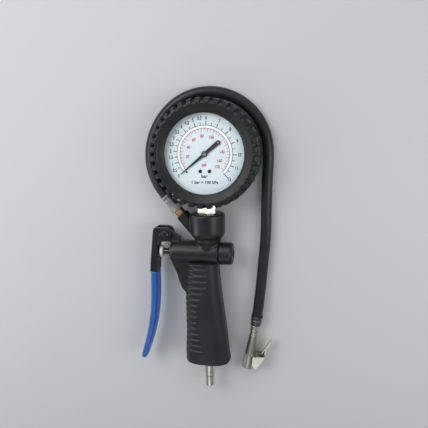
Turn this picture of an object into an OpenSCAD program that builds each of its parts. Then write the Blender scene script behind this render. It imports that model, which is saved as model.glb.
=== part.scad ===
// Hand-held tyre inflator with a dial gauge, a squeeze lever, a hose and a clip-on chuck.
// It lies on its back on a bench: +Z comes out of the dial, +Y points to the top of the gauge,
// and the handle runs along -Y. The origin is on the gauge's axis, at the boot's flat back.
// Lengths are in millimetres and angles in degrees, anticlockwise seen from the front.

/* [Gauge] */
// Outer radius of the pressed steel gauge case
case_r = 42; // [40:0.5:44]
// Sheet thickness of the case
case_wall = 1; // [0.8:0.1:1.2]
// Depth of the case from its back to its rim
case_depth = 23.5; // [23.4:0.1:25]
// Sheet thickness of the bezel ring
bezel_wall = 0.8; // [0.6:0.1:1]
// Distance from the case's wall in to the edge of the boot's window
window_inset = 4.8; // [4:0.1:6]
// Thickness of the clear lens
lens_t = 1.6; // [1.2:0.1:2]
// Height of the dial's face above the bench
dial_z = 25.4; // [25:0.1:25.4]
// Thickness of the dial sheet
dial_t = 0.8; // [0.5:0.1:1]
// Length of the pointer from the axis to its tip
pointer_len = 30; // [24:0.5:34]
// Length of the pointer's tail
pointer_tail = 18.7; // [10:0.1:22]
// Angle of the pointer at zero pressure
zero_angle = 219; // [200:1:250]

/* [Rubber boot] */
// Thickness of the boot's wall at the tread blocks
boot_wall = 8.25; // [7:0.05:9]
// Height of the boot above the bench
boot_h = 35; // [34.5:0.5:38]
// Thickness of the boot's closed back
boot_floor = 3; // [2.5:0.1:3.2]
// Number of tread blocks round each shoulder
tread_blocks = 36; // [24:1:40]
// Width of the gap between two tread blocks
tread_gap = 4.2; // [2.5:0.1:4.8]
// Depth of the gap between two tread blocks
tread_depth = 3.3; // [1.5:0.1:3.6]

/* [Gauge movement] */
// Tooth size of the sector and pinion
gear_module = 0.3; // [0.28:0.01:0.32]
// Teeth on the pinion
pinion_teeth = 12; // [12:1:14]
// Teeth that a whole circle of the sector would have
sector_teeth = 90; // [84:6:96]
// Swing of the sector from zero to full scale
sector_swing = 36; // [30:1:36]
// Radius of the pressure tube's centre line
tube_r = 27; // [26:0.5:28]
// Height of the pressure tube's flat section
tube_h = 10; // [8:0.5:11]
// Thickness of the pressure tube's flat section
tube_t = 4; // [3:0.1:4.4]
// Radius of the pointer's shaft
shaft_r = 0.6; // [0.5:0.05:0.7]

/* [Body] */
// Radius of the neck that the gauge screws into
neck_r = 17; // [16:0.5:18]
// Gap between the boot and the top of the neck
neck_gap = 5.8; // [5.6:0.1:7]
// Distance from the top of the neck down to the valve's axis
neck_len = 40; // [39:0.5:42]
// Radius of the valve head
head_r = 12; // [11.5:0.1:12.5]
// Reach of the valve head on the lever's side
head_left = 36; // [34:0.5:37]
// Reach of the valve head on the end cap's side
head_right = 11.5; // [11.4:0.1:13]
// Radius of the valve chamber
chamber_r = 7; // [6.5:0.1:7.5]
// Length of the end cap outside the head
cap_len = 13.5; // [10:0.5:16]
// Radius of the end cap
cap_r = 11; // [9:0.1:11.4]
// Direction of the hose arm
arm_angle = 131; // [126:1:134]
// Radius of the hose arm
arm_r = 6.5; // [6:0.1:7]
// Radius of the core inside the grip
core_r = 9; // [8:0.1:10]
// Distance from the valve's axis down to the end of the core
core_len = 111.7; // [108:0.1:116]
// Wrench size of the nuts under the gauge
gauge_af = 17; // [15:0.5:18]

/* [Grip] */
// Thickness of the grip, front to back
grip_t = 34; // [32:0.5:36]
// Height of one rib
rib_h = 0.9; // [0.5:0.1:1.2]
// Spacing of the ribs
rib_pitch = 6.05; // [5.5:0.05:6.2]
// Number of ribs
ribs = 15; // [10:1:15]

/* [Lever and valve] */
// Distance of the lever's pivot from the gauge's axis, to the left
pivot_left = 42.5; // [42.2:0.1:43]
// Height of the lever's pivot over the valve's axis
pivot_rise = 18.3; // [18:0.1:18.6]
// Radius of the lever's pin
pin_r = 2.5; // [2:0.1:3]
// Width of the lever
lever_w = 15; // [14:0.5:18]
// Width of the lug that carries the lever's pin
lug_w = 8; // [7:0.5:9]
// Wall thickness of the soft sleeve on the lever
sleeve_wall = 1.5; // [1:0.1:1.8]
// Radius of the plunger's shaft
plunger_r = 3; // [2.5:0.1:3.2]
// Radius of the plunger's button
button_r = 5.9; // [5:0.1:6.2]
// Thickness of the plunger's button
button_t = 4.4; // [4.2:0.1:5]
// Wire thickness of the valve spring
valve_wire = 0.7; // [0.5:0.05:0.8]
// Turns of the valve spring
valve_turns = 6; // [4:1:8]

/* [Inlet plug] */
// Radius of the plug's nose
nose_r = 4.8; // [4.6:0.1:5.6]
// Length of the plug below its hexagon
nose_len = 24.5; // [22:0.1:28]
// Wrench size of the plug's hexagon
plug_af = 12; // [10:0.5:12.5]

/* [Hose and chuck] */
// Outer radius of the hose
hose_r = 5.25; // [4.5:0.05:5.25]
// Radius of the crimped ferrules at the hose
ferrule_r = 6; // [5.9:0.05:6.2]
// Wrench size of the hose nut
hose_af = 12; // [11:0.5:13]
// Lean of the chuck towards the handle
chuck_lean = 10; // [8:0.2:11]
// Height of the chuck's axis above the bench
chuck_z = 7.6; // [7.6:0.1:8.4]
// Outer radius of the chuck at its mouth
chuck_r = 5.5; // [5.4:0.1:5.9]
// Radius of the chuck's mouth, for a standard tyre valve
mouth_r = 4.05; // [3.95:0.05:4.2]
// Sheet thickness of the clip
clip_t = 0.8; // [0.6:0.1:0.9]
// Width of the clip's thumb tab
tab_w = 6; // [4:0.5:9]

/* [Hidden] */
$fn = 64;

// Heights and clearances
tool_z = grip_t / 2;        // height of the handle's axis above the bench
gap = 0.3;                  // between parts that move past each other
fit = 0.05;                 // between a shaft and its hole, and between seated parts
case_z = boot_floor + 0.1;  // back of the case
rim_z = case_z + case_depth;
lens_z = rim_z + 0.8;       // back of the lens, on its gasket
lens_top = lens_z + lens_t;
bezel_r = case_r + bezel_wall + fit;
bezel_top = lens_top + bezel_wall;
window_r = case_r - window_inset;
boot_bore = bezel_r + 0.1;
boot_r = boot_bore + boot_wall;
hex_top = boot_r - 3.2;     // distance from the gauge's axis to the top of the stem's hexagon
neck_drop = boot_r + neck_gap;
head_drop = neck_drop + neck_len;
head_y = -head_drop;
pivot = [-pivot_left, head_y + pivot_rise];
core_drop = head_drop + core_len;

// ---- General helpers -------------------------------------------------------------------

// A solid of revolution about +Y; profile points are [radius, y].
module turned_y(profile, x = 0, z = tool_z)
    translate([x, 0, z]) rotate([-90, 0, 0]) rotate_extrude() polygon(profile);

// A solid of revolution about +X on the valve's axis; profile points are [radius, x].
module turned_x(profile)
    translate([0, head_y, tool_z]) rotate([0, 90, 0]) rotate_extrude() polygon(profile);

// A solid of revolution about +Z; profile points are [radius, z].
module turned_z(profile, x = 0, y = 0)
    translate([x, y, 0]) rotate_extrude() polygon(profile);

module rod_x(r, x0, x1, y = head_y, z = tool_z)
    translate([x0, y, z]) rotate([0, 90, 0]) cylinder(r = r, h = x1 - x0);

module rod_y(r, y0, y1, x = 0, z = tool_z)
    translate([x, y0, z]) rotate([-90, 0, 0]) cylinder(r = r, h = y1 - y0);

module rod_z(r, z0, z1, x = 0, y = 0)
    translate([x, y, z0]) cylinder(r = r, h = z1 - z0);

// A box given by two opposite corners.
module block(low, high) translate(low) cube(high - low);

// A hexagonal bar along +Y with corners to the front and back.
module hex_y(af, y0, y1)
    translate([0, y0, tool_z]) rotate([-90, 0, 0]) rotate(90)
        cylinder(d = af / cos(30), h = y1 - y0, $fn = 6);

// An O-ring about +X, given the radius of its centre line and of its section.
module ring_x(x, centre_r, section_r)
    translate([x, head_y, tool_z]) rotate([0, 90, 0])
        rotate_extrude() translate([centre_r, 0]) circle(section_r, $fn = 24);

// The point at a radius and an angle.
function polar(r, a) = r * [cos(a), sin(a)];

// Points on an arc about a centre, from one angle to another.
function arc(centre, r, from, to, steps) =
    [for (i = [0:steps]) centre + polar(r, from + (to - from) * i / steps)];

// A point on a cubic Bezier curve.
function bezier(p, t) =
    let (s = 1 - t)
    s * s * s * p[0] + 3 * s * s * t * p[1] + 3 * s * t * t * p[2] + t * t * t * p[3];

function unit(v) = v / norm(v);

// A signed power, for rounded rectangular sections.
function spow(x, e) = sign(x) * pow(abs(x), e);

// An anticlockwise outline moved inwards by c with mitred corners.
function inset(pts, c) = [
    for (i = [0:len(pts) - 1])
        let (
            n = len(pts),
            u = unit(pts[i] - pts[(i + n - 1) % n]),
            v = unit(pts[(i + 1) % n] - pts[i]),
            nu = [-u[1], u[0]],
            nv = [-v[1], v[0]]
        )
        pts[i] + c * (nu + nv) / (1 + nu * nv)
];

function lift(pts, z) = [for (p = pts) [p[0], p[1], z]];

// A closed skin over rings that all have the same number of points.
module skin(rings) {
    n = len(rings[0]);
    m = len(rings);
    walls = [
        for (i = [0:m - 2], j = [0:n - 1])
            let (k = (j + 1) % n, a = i * n, b = a + n)
            each [[a + j, b + j, b + k], [a + j, b + k, a + k]]
    ];
    first = [for (j = [0:n - 1]) j];
    last = [for (j = [n - 1:-1:0]) (m - 1) * n + j];
    polyhedron([for (r = rings) each r], concat([first, last], walls));
}

// A plate with an anticlockwise outline and all its edges bevelled by c.
module bevel_plate(pts, z0, z1, c)
    skin([
        lift(inset(pts, c), z0), lift(pts, z0 + c),
        lift(pts, z1 - c), lift(inset(pts, c), z1)
    ]);

// Tangent of a path at point i.
function heading(path, i) =
    unit(path[min(i + 1, len(path) - 1)] - path[max(i - 1, 0)]);

// A round tube swept along a path; up fixes how the rings are turned.
module tube(path, r, sides, up = [0, 0, 1])
    skin([
        for (i = [0:len(path) - 1])
            let (t = heading(path, i), s = unit(cross(up, t)), w = cross(t, s))
            [for (j = [0:sides - 1]) let (a = 360 * (j + 0.5) / sides)
                path[i] + r * (cos(a) * s + sin(a) * w)]
    ]);

// Points along a coil spring about +X that starts at x0.
function coil_x(r, x0, length, turns, y, z, steps = 10) = [
    for (i = [0:turns * steps])
        let (a = 360 * i / steps)
        [x0 + length * i / (turns * steps), y + r * cos(a), z + r * sin(a)]
];

// Least clear gap between the turns of a coil path, found on its points.
function coil_gap(path, wire, steps = 10) =
    min([for (i = [0:len(path) - 1], j = [i + ceil(steps * 0.6):1:len(path) - 1])
        norm(path[i] - path[j])]) - wire;

// ---- Rubber boot -----------------------------------------------------------------------

shoulder_r = boot_r - 5.2;

module boot_profile()
    polygon([
        [0, 0], [shoulder_r, 0], [boot_r - 2.6, 0.5], [boot_r - 0.6, 2.5], [boot_r, 5.5],
        [boot_r, boot_h - 5.5], [boot_r - 0.6, boot_h - 2.5], [boot_r - 2.6, boot_h - 0.5],
        [shoulder_r, boot_h], [shoulder_r - 1.6, boot_h - 0.4], [boot_bore - 0.4, boot_h - 1.4],
        [window_r + 0.7, bezel_top + 1.5], [window_r, bezel_top + 0.8],
        [window_r, bezel_top + 0.1], [boot_bore, bezel_top + 0.1], [boot_bore, boot_floor],
        [0, boot_floor]
    ]);

// Side view of the gap between two tread blocks, on the front shoulder.
module tread_gap_profile()
    polygon([
        [shoulder_r - 0.2, boot_h + 1], [shoulder_r + 0.3, boot_h - 2.6],
        [boot_r - tread_depth - 0.4, boot_h - 5.2], [boot_r - tread_depth, boot_h - 7.5],
        [boot_r - tread_depth, boot_h / 2 + 3], [boot_r + 1, boot_h / 2 + 2],
        [boot_r + 1, boot_h + 1]
    ]);

module tread_gaps()
    for (i = [0:tread_blocks - 1])
        rotate(i * 360 / tread_blocks) rotate([90, 0, 0])
            linear_extrude(tread_gap, center = true) tread_gap_profile();

stem_r = 7;

module boot() color("#1b1c1d")
    difference() {
        rotate_extrude($fn = 180) boot_profile();
        tread_gaps();
        // The back shoulder's gaps stand between those of the front
        translate([0, 0, boot_h]) mirror([0, 0, 1]) rotate(180 / tread_blocks) tread_gaps();
        // Way out for the stem, and a notch that clears its hexagon
        rod_y(stem_r + 0.4, -boot_r - 1, -case_r);
        block([-gauge_af / 2 - 1.2, -boot_r - 1, tool_z - gauge_af / 2 - 3],
              [gauge_af / 2 + 1.2, -hex_top + 0.6, boot_h + 1]);
    }

// ---- Gauge case, bezel, lens and dial --------------------------------------------------

case_screw = [4.5, 9 - case_r];

module gauge_case() color("#3a3c3e")
    difference() {
        turned_z([
            [0, case_z], [case_r - 1.2, case_z], [case_r, case_z + 1.2], [case_r, rim_z],
            [case_r - case_wall, rim_z], [case_r - case_wall, case_z + case_wall + 1],
            [case_r - case_wall - 1, case_z + case_wall], [0, case_z + case_wall]
        ]);
        rod_y(stem_r, -case_r - 1, -case_r / 2);
        for (s = [-1, 1])
            turned_z([[0, case_z - 0.1], [2.7, case_z - 0.1], [2.7, case_z],
                      [1.3, case_z + case_wall], [1.3, case_z + case_wall + 0.1],
                      [0, case_z + case_wall + 0.1]], s * case_screw[0], case_screw[1]);
    }

module bezel_ring() color("#2b2d2f")
    turned_z([
        [case_r + fit, rim_z - 2.4], [bezel_r, rim_z - 2.4], [bezel_r, bezel_top - 0.3],
        [bezel_r - 0.3, bezel_top], [window_r + 1.2, bezel_top],
        [window_r + 1.2, lens_top], [case_r + fit, lens_top]
    ]);

module lens() color("#dfe9ee", 0.35)
    turned_z([
        [0, lens_z], [case_r - 0.5, lens_z], [case_r - 0.5, lens_top - 0.2],
        [case_r - 0.7, lens_top], [0, lens_top]
    ]);

module lens_gasket() color("#202122")
    turned_z([
        [case_r - 3, rim_z], [case_r - 0.3, rim_z], [case_r - 0.3, lens_z], [case_r - 3, lens_z]
    ]);

dial_r = case_r - case_wall - 0.5;
dial_screw = [4.4, -16];

module dial_plate() color("#eef1f3")
    difference() {
        rod_z(dial_r, dial_z - dial_t, dial_z);
        rod_z(2.5, dial_z - 2, dial_z + 1);
        for (s = [-1, 1]) rod_z(1, dial_z - 2, dial_z + 1, s * dial_screw[0], dial_screw[1]);
    }

module dial_standoffs() color("#c9a24b")
    for (s = [-1, 1])
        difference() {
            rod_z(2, front_plate_z + plate_t, dial_z - dial_t, s * dial_screw[0], dial_screw[1]);
            rod_z(0.9, front_plate_z, dial_z, s * dial_screw[0], dial_screw[1]);
        }

module dial_screws() color("#6f7479")
    for (s = [-1, 1]) {
        rod_z(0.9, front_plate_z + 0.1, dial_z + 0.1, s * dial_screw[0], dial_screw[1]);
        difference() {
            turned_z([[0, dial_z], [1.8, dial_z], [1.8, dial_z + 0.25], [1.3, dial_z + 0.46],
                      [0, dial_z + 0.5]], s * dial_screw[0], dial_screw[1]);
            translate([s * dial_screw[0], dial_screw[1], dial_z + 0.5])
                cube([4, 0.5, 0.5], center = true);
        }
    }

pointer_z = dial_z + 0.7;
pointer_t = 0.4;

tail_end_r = 2;

// Pointer outline along +X: a slim taper to the tip, and a tail with a round, pierced end
module pointer_outline()
    difference() {
        polygon(concat(
            [[0, -1.5], [pointer_len - 1, -0.25], [pointer_len, 0], [pointer_len - 1, 0.25],
             [0, 1.5]],
            arc([tail_end_r - pointer_tail, 0], tail_end_r, 96, 264, 12)
        ));
        translate([tail_end_r - pointer_tail, 0]) circle(1);
    }

module pointer() color("#16181a")
    rotate(zero_angle)
        difference() {
            union() {
                rod_z(2.8, pointer_z, pointer_z + 1);
                translate([0, 0, pointer_z]) linear_extrude(pointer_t) pointer_outline();
            }
            rod_z(shaft_r, pointer_z - 1, pointer_z + 0.8);
        }

// ---- Movement: pressure tube, link, sector, pinion and hairspring ----------------------

plate_t = 1.2;
back_plate_z = tool_z - 3.6;
front_plate_z = tool_z + 5.4;
sector_z = tool_z + 0.6;
sector_t = 1.2;
pinion_r = gear_module * pinion_teeth / 2;
sector_r = gear_module * sector_teeth / 2;
sector_pivot = [0, -pinion_r - sector_r];
pressure_angle = 20;
backlash = 0.06;
tail_r = 6;
tail_angle = -50 - sector_swing / 2;
tail_pin = sector_pivot + polar(tail_r, tail_angle);
tip_angle = -20;
tip_pin = polar(tube_r, tip_angle);
link_pin_r = 0.5;
sector_pitch = 360 / sector_teeth;
sector_teeth_ahead = 2;
sector_teeth_behind = ceil(sector_swing / sector_pitch) + 2;

// Angle, in degrees, that an involute turns through on its way out to radius r.
function involute(r, base) =
    r <= base ? 0 : let (a = acos(base / r)) tan(a) * 180 / PI - a;

// Half the angle that one tooth covers at radius r.
function half_tooth(r, pitch, teeth) =
    let (base = pitch * cos(pressure_angle))
    90 / teeth - backlash / 4 / pitch * 180 / PI + involute(pitch, base) - involute(r, base);

// One tooth about angle a, from root to tip and back.
function tooth(a, pitch, teeth, root, tip) =
    let (radii = [root, max(root + 0.1, pitch * cos(pressure_angle)), pitch,
                  (pitch + tip) / 2, tip])
    concat(
        [for (r = radii) polar(r, a - half_tooth(r, pitch, teeth))],
        [for (i = [4:-1:0]) polar(radii[i], a + half_tooth(radii[i], pitch, teeth))]
    );

module pinion_outline()
    polygon([
        for (i = [0:pinion_teeth - 1])
            each tooth(-90 + 360 * (i + 0.5) / pinion_teeth, pinion_r, pinion_teeth,
                       pinion_r - 1.25 * gear_module, pinion_r + gear_module)
    ]);

// The toothed fan, about the sector's own pivot, with its arm to the link
module sector_outline()
    difference() {
        union() {
            polygon(concat([[0, 0]], [
                for (i = [-sector_teeth_behind:sector_teeth_ahead])
                    each tooth(90 + i * sector_pitch, sector_r, sector_teeth,
                               sector_r - 1.25 * gear_module, sector_r + 0.7 * gear_module)
            ]));
            circle(2.4);
            rotate(tail_angle) translate([0, -1]) square([tail_r, 2]);
            translate(polar(tail_r, tail_angle)) circle(1.3);
        }
        // Window that lightens the fan
        polygon(concat(
            arc([0, 0], sector_r - 2.4, 90 + sector_pitch, 90 - sector_swing - sector_pitch, 10),
            arc([0, 0], 5.5, 90 - sector_swing, 90, 4)
        ));
        circle(shaft_r);
    }

module sector_gear() color("#c9a24b")
    translate(concat(sector_pivot, sector_z)) {
        linear_extrude(sector_t) sector_outline();
        translate(concat(polar(tail_r, tail_angle), sector_t / 2))
            cylinder(r = link_pin_r, h = 2.2);
    }

module sector_shaft() color("#b9bdc0")
    rod_z(shaft_r, back_plate_z + 0.1, front_plate_z + plate_t - 0.1,
          sector_pivot[0], sector_pivot[1]);

module pointer_arbor() color("#b9bdc0") {
    rod_z(shaft_r, back_plate_z + 0.1, pointer_z + 0.8);
    translate([0, 0, sector_z - 0.8]) linear_extrude(sector_t + 1.6) pinion_outline();
    rod_z(1.2, front_plate_z - 1.8, front_plate_z - gap);
}

spiral_turns = 4;
spiral_in = 1.45;
spiral_out = 6.3;
spiral_z = front_plate_z - 1.6;

function spiral(a, side) =
    polar(spiral_in + (spiral_out - spiral_in) * a / (360 * spiral_turns) + side, a);

module hairspring() color("#8e9499") {
    steps = spiral_turns * 20;
    translate([0, 0, spiral_z]) linear_extrude(0.5)
        polygon(concat(
            [for (i = [0:steps]) spiral(i * 18, 0.1)],
            [for (i = [steps:-1:0]) spiral(i * 18, -0.1)]
        ));
    // Stud that holds the spring's outer end on the front plate
    rod_z(0.5, spiral_z, front_plate_z, spiral_out + 0.45, 0);
}

// The plates end short of the pressure tube, and the pillars and seat screws go with their ends
plate_drop = tube_r - 4.4;
pillar = [8, 1.4 - plate_drop];
screw_seat = [3.2, 2 - plate_drop];

module plate_outline()
    difference() {
        union() {
            circle(7.6);
            polygon([[-7.6, 0], [-9.4, -15], [-9.4, -plate_drop], [9.4, -plate_drop],
                     [9.4, -15], [7.6, 0]]);
        }
        circle(shaft_r + fit);
        translate(sector_pivot) circle(shaft_r + fit);
    }

module movement_back_plate() color("#c9a24b")
    translate([0, 0, back_plate_z]) linear_extrude(plate_t)
        difference() {
            plate_outline();
            for (s = [-1, 1]) translate([s * screw_seat[0], screw_seat[1]]) circle(1);
        }

module movement_front_plate() color("#c9a24b")
    translate([0, 0, front_plate_z]) linear_extrude(plate_t)
        difference() {
            plate_outline();
            for (s = [-1, 1]) translate([s * dial_screw[0], dial_screw[1]]) circle(0.9);
        }

module movement_pillars() color("#c9a24b")
    for (s = [-1, 1])
        rod_z(1.4, back_plate_z + plate_t, front_plate_z, s * pillar[0], pillar[1]);

module movement_screws() color("#6f7479")
    for (s = [-1, 1]) {
        rod_z(0.9, back_plate_z - 2, back_plate_z + plate_t, s * screw_seat[0], screw_seat[1]);
        rod_z(1.6, back_plate_z + plate_t, back_plate_z + plate_t + 0.9,
              s * screw_seat[0], screw_seat[1]);
    }

link_z = sector_z + sector_t + 0.3;
link_t = 0.7;
link_slack = 0.25;  // the tube's end leaves the link's circle by less than this

module link() color("#b9bdc0") {
    along = tip_pin - tail_pin;
    translate([0, 0, link_z]) linear_extrude(link_t)
        difference() {
            union() {
                translate(tail_pin) circle(1.3);
                translate(tip_pin) circle(1.6);
                translate(tail_pin) rotate(atan2(along[1], along[0]))
                    translate([0, -0.9]) square([norm(along), 1.8]);
            }
            translate(tail_pin) circle(link_pin_r + 0.03);
            translate(tip_pin) circle(link_pin_r + link_slack);
        }
}

tube_end = tip_angle + 6;
tube_wall = 0.5;
socket_w = 7;
tube_foot_y = -sqrt(tube_r * tube_r - socket_w * socket_w);

// Flat section of the pressure tube with rounded sides
module tube_section(wall = 0)
    translate([tube_r, tool_z]) {
        square([tube_t - 2 * wall, tube_h - tube_t], center = true);
        for (s = [-1, 1])
            translate([0, s * (tube_h - tube_t) / 2]) circle(tube_t / 2 - wall, $fn = 32);
    }

module bourdon_tube() color("#c9a24b")
    difference() {
        rotate(tube_end) rotate_extrude(angle = 270, $fn = 96)
            difference() {
                tube_section();
                tube_section(tube_wall);
            }
        block([-socket_w, -socket_bottom, 0], [socket_w, -tube_r + 6, 2 * tool_z]);
    }

module tube_tip() color("#b08d3c") {
    rotate(tip_angle - 4) rotate_extrude(angle = tube_end - tip_angle + 3.7)
        translate([tube_r - 2.6, tool_z - 5.4]) square([5.2, link_z - gap - tool_z + 5.4]);
    rod_z(link_pin_r, link_z - 2, link_z + link_t + 0.4, tip_pin[0], tip_pin[1]);
}

socket_bottom = case_r - case_wall - 0.1;
socket_top = tube_r - 2.5;
stem_end = neck_drop + 14;
bore_r = 2;

module gauge_socket() color("#c8c6bd")
    difference() {
        union() {
            // Block that the pressure tube is brazed into, fitted to the case's wall
            intersection() {
                block([-socket_w, -case_r, tool_z - 6], [socket_w, -socket_top, tool_z + 6]);
                rod_z(socket_bottom, 0, 2 * tool_z);
            }
            // Tongue that carries the movement
            block([-5.2, -socket_top - 1, back_plate_z - 3], [5.2, -sector_r - 3.2, back_plate_z]);
            // Posts that the case's back is screwed to
            for (s = [-1, 1])
                rod_z(3, case_z + case_wall, tool_z, s * case_screw[0], case_screw[1]);
            rod_y(stem_r - 0.1, -hex_top - 0.1, -case_r + 2);
            intersection() {
                hex_y(gauge_af, -hex_top - 5, -hex_top);
                turned_y([[0, -hex_top - 5], [gauge_af * 0.6, -hex_top - 5],
                          [gauge_af * 0.6, -hex_top - 1], [gauge_af * 0.52, -hex_top],
                          [0, -hex_top]]);
            }
            rod_y(stem_thread_r, -stem_end, -hex_top - 4.9);
        }
        rod_y(bore_r, -stem_end - 1, tube_foot_y + 0.8);
        // Way from the stem's bore into the pressure tube
        rod_x(tube_t / 2 - tube_wall, -socket_w - 1, 0, tube_foot_y);
        for (s = [-1, 1])
            rod_z(1.2, case_z, tool_z - 6, s * case_screw[0], case_screw[1]);
        for (s = [-1, 1])
            rod_z(0.9, back_plate_z - 2.2, back_plate_z + 1, s * screw_seat[0], screw_seat[1]);
    }

module case_screws() color("#6f7479")
    for (s = [-1, 1])
        turned_z([[0, case_z], [2.6, case_z], [1.2, case_z + case_wall], [1.2, case_z + 6],
                  [0, case_z + 6]],
                 s * case_screw[0], case_screw[1]);

stem_thread_r = 6.58;

module stem_locknut() color("#c8c6bd")
    difference() {
        intersection() {
            hex_y(gauge_af, -neck_drop, -hex_top - 5);
            turned_y([[0, -neck_drop], [gauge_af * 0.52, -neck_drop],
                      [gauge_af * 0.575, -neck_drop + 0.8], [gauge_af * 0.575, -hex_top - 6],
                      [gauge_af * 0.53, -hex_top - 5], [0, -hex_top - 5]]);
        }
        rod_y(stem_thread_r, -neck_drop - 1, -hex_top);
    }

// ---- Body ------------------------------------------------------------------------------

arm_len = 21.2;
arm_dir = polar(1, arm_angle);
// The arm's line passes the boot with room for the ferrule, and the arm starts in the neck
arm_foot = polar(boot_r + ferrule_r + 0.58, arm_angle + 90);
arm_base = arm_foot - (arm_foot[0] + 11.8) / arm_dir[0] * arm_dir;
arm_end = arm_base + arm_len * arm_dir;
lug_r = 6;
bush_end = -6;         // valve seat, at the inner end of the bush
flange_r = chamber_r + 2;
core_y = -core_drop;
thread_r = 6.58;
chin_w = 16;

// Places its children on the hose arm: local +Z runs out of the arm from its end.
module on_arm() translate(concat(arm_end, tool_z)) rotate(arm_angle) rotate([0, 90, 0]) children();

// Outline of the web below the head that guards the finger, anticlockwise
chin = [
    [-35.4, head_y - 1], [-35.4, head_y - 10.5], [-34, head_y - 14], [-30.6, head_y - 21.5],
    [-28.6, head_y - 29], [-25.6, head_y - 36.5], [-21, head_y - 41.5], [-5, head_y - 42],
    [-5, head_y - 1]
];

module neck()
    turned_y(concat(
        [[0, -neck_drop], [neck_r - 1.2, -neck_drop], [neck_r, -neck_drop - 1.2]],
        arc([neck_r - 7, -neck_drop - 18], 7, 0, -60, 8),
        arc([neck_r - 0.8, head_y + 8.4], 5, 135, 180, 5),
        [[11.2, head_y], [0, head_y]]
    ));

module head()
    turned_x(concat(
        [[0, -head_left]],
        [for (a = [-90:22.5:0]) [head_r - 2 + 2 * cos(a), -head_left + 2 + 2 * sin(a)]],
        [[head_r, head_right - 0.8], [head_r - 0.8, head_right], [0, head_right]]
    ));

module body_casting() color("#222426")
    difference() {
        union() {
            neck();
            head();
            on_arm() translate([0, 0, -arm_len]) cylinder(r = arm_r, h = arm_len);
            // Lug for the lever's pin
            hull() {
                rod_z(lug_r, tool_z - lug_w / 2, tool_z + lug_w / 2, pivot[0], pivot[1], $fn = 32);
                block([-head_left + 0.5, head_y + flange_r + gap, tool_z - lug_w / 2],
                      [-head_left + 8, head_y + 15, tool_z + lug_w / 2]);
            }
            bevel_plate(chin, tool_z - chin_w / 2, tool_z + chin_w / 2, 2);
            rod_y(core_r, core_y, head_y);
        }
        rod_z(pin_r + fit, 0, 2 * tool_z, pivot[0], pivot[1]);
        rod_x(chamber_r, -head_left - 1, head_right + 1);
        // Gauge thread and the outlet passage down to the valve
        rod_y(stem_thread_r + 0.02, -stem_end - 2, -neck_drop + 1);
        hull() {
            rod_z(2.4, tool_z - 0.6, tool_z + 0.6, 0, -stem_end - 1, $fn = 16);
            rod_z(2.4, tool_z - 0.6, tool_z + 0.6, -14, head_y + 4, $fn = 16);
        }
        on_arm() translate([0, 0, -arm_len - 6]) cylinder(r = 3, h = arm_len + 7);
        on_arm() translate([0, 0, -9]) cylinder(r = bush_thread_r + 0.02, h = 10);
        // Inlet passage and thread up the handle
        rod_y(4, core_y - 1, head_y);
        rod_y(thread_r + 0.02, core_y - 1, core_y + 13.5);
    }

// Left and right edge of the grip, and the edge of its smooth panel, down its length
grip_top = head_drop + 8.4;     // it laps round the lower side of the valve head
grip_end = core_drop + 0.8;
function down_grip(table) = [for (p = table) [head_y - p[0], p[1]]];
grip_left = down_grip([[112.5, -23.3], [102, -23.6], [81, -22.5], [43, -22.5], [22, -21],
                       [8.4, -19]]);
grip_right = down_grip([[112.5, 22.2], [102, 20.4], [81, 18.3], [43, 13.4], [22, 11.4],
                        [8.4, 10.6]]);
panel_edge = down_grip([[108, -2], [94, -2.8], [85, -6], [68, -9.8], [53, -9], [40, -5],
                        [31, 1.2], [11, 2.2]]);
grip_half = down_grip([[112.5, grip_t / 2], [43, grip_t / 2], [28, grip_t / 2 - 0.8],
                       [8.4, grip_t / 2 - 2.2]]);
rib_top = -grip_top - 1.8;

// Depth of the groove at y as a share of rib_h: a flat floor with sloping sides in each pitch
groove_wave = [[0, 0], [0.2, 1], [0.45, 1], [0.65, 0], [1, 0]];

function groove_at(y) =
    let (k = (rib_top - y) / rib_pitch)
    k < 0 || k >= ribs ? 0 : lookup(k - floor(k), groove_wave);

// One section of the grip, a rounded rectangle whose grooves stop at the smooth panel
function grip_ring(y, shrink = 0) =
    let (
        left = lookup(y, grip_left), right = lookup(y, grip_right),
        c = (left + right) / 2, a = (right - left) / 2 - shrink,
        b = lookup(y, grip_half) - shrink, edge = lookup(y, panel_edge) - c, n = 36
    )
    [for (i = [0:n - 1])
        let (
            u = 360 * i / n,
            x = a * spow(cos(u), 0.72), z = -b * spow(sin(u), 0.72),
            out = unit([x / a / a, z / b / b]),
            cut = rib_h * groove_at(y) * max(0, min(1, (edge - x) / 1.5))
        )
        [c + x - out[0] * cut, y, tool_z + z - out[1] * cut]];

grip_stations =
    [for (k = [ribs - 1:-1:0], f = [0.65, 0.45, 0.2, 0]) rib_top - (k + f) * rib_pitch];

module grip() color("#26282a")
    difference() {
        skin(concat(
            [grip_ring(-grip_end, 1.3), grip_ring(-grip_end + 0.4, 0.4),
             grip_ring(-grip_end + 1.3), grip_ring(-grip_end + 5)],
            [for (y = grip_stations) grip_ring(y)],
            [grip_ring(-grip_top - 0.7), grip_ring(-grip_top, 0.8)]
        ));
        rod_x(head_r + fit, -head_left, head_right + 1);
        rod_y(core_r + fit, core_y, -grip_top + 1);
        rod_y(core_r - 1.4, core_y - 2, core_y + 1);
        translate([0, 0, tool_z - chin_w / 2 - fit])
            linear_extrude(chin_w + 2 * fit) polygon(inset(chin, -fit));
    }

// ---- Valve -----------------------------------------------------------------------------

button_x = -49.6;                       // outer face of the plunger's button
shaft_x = button_x + button_t;
oring_x = -29;
oring_r = 0.85;
seat_t = 1;
poppet_x = bush_end + seat_t;
poppet_t = 3;
poppet_r = chamber_r - 1.4;
spring_seat = head_right - 1;

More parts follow.
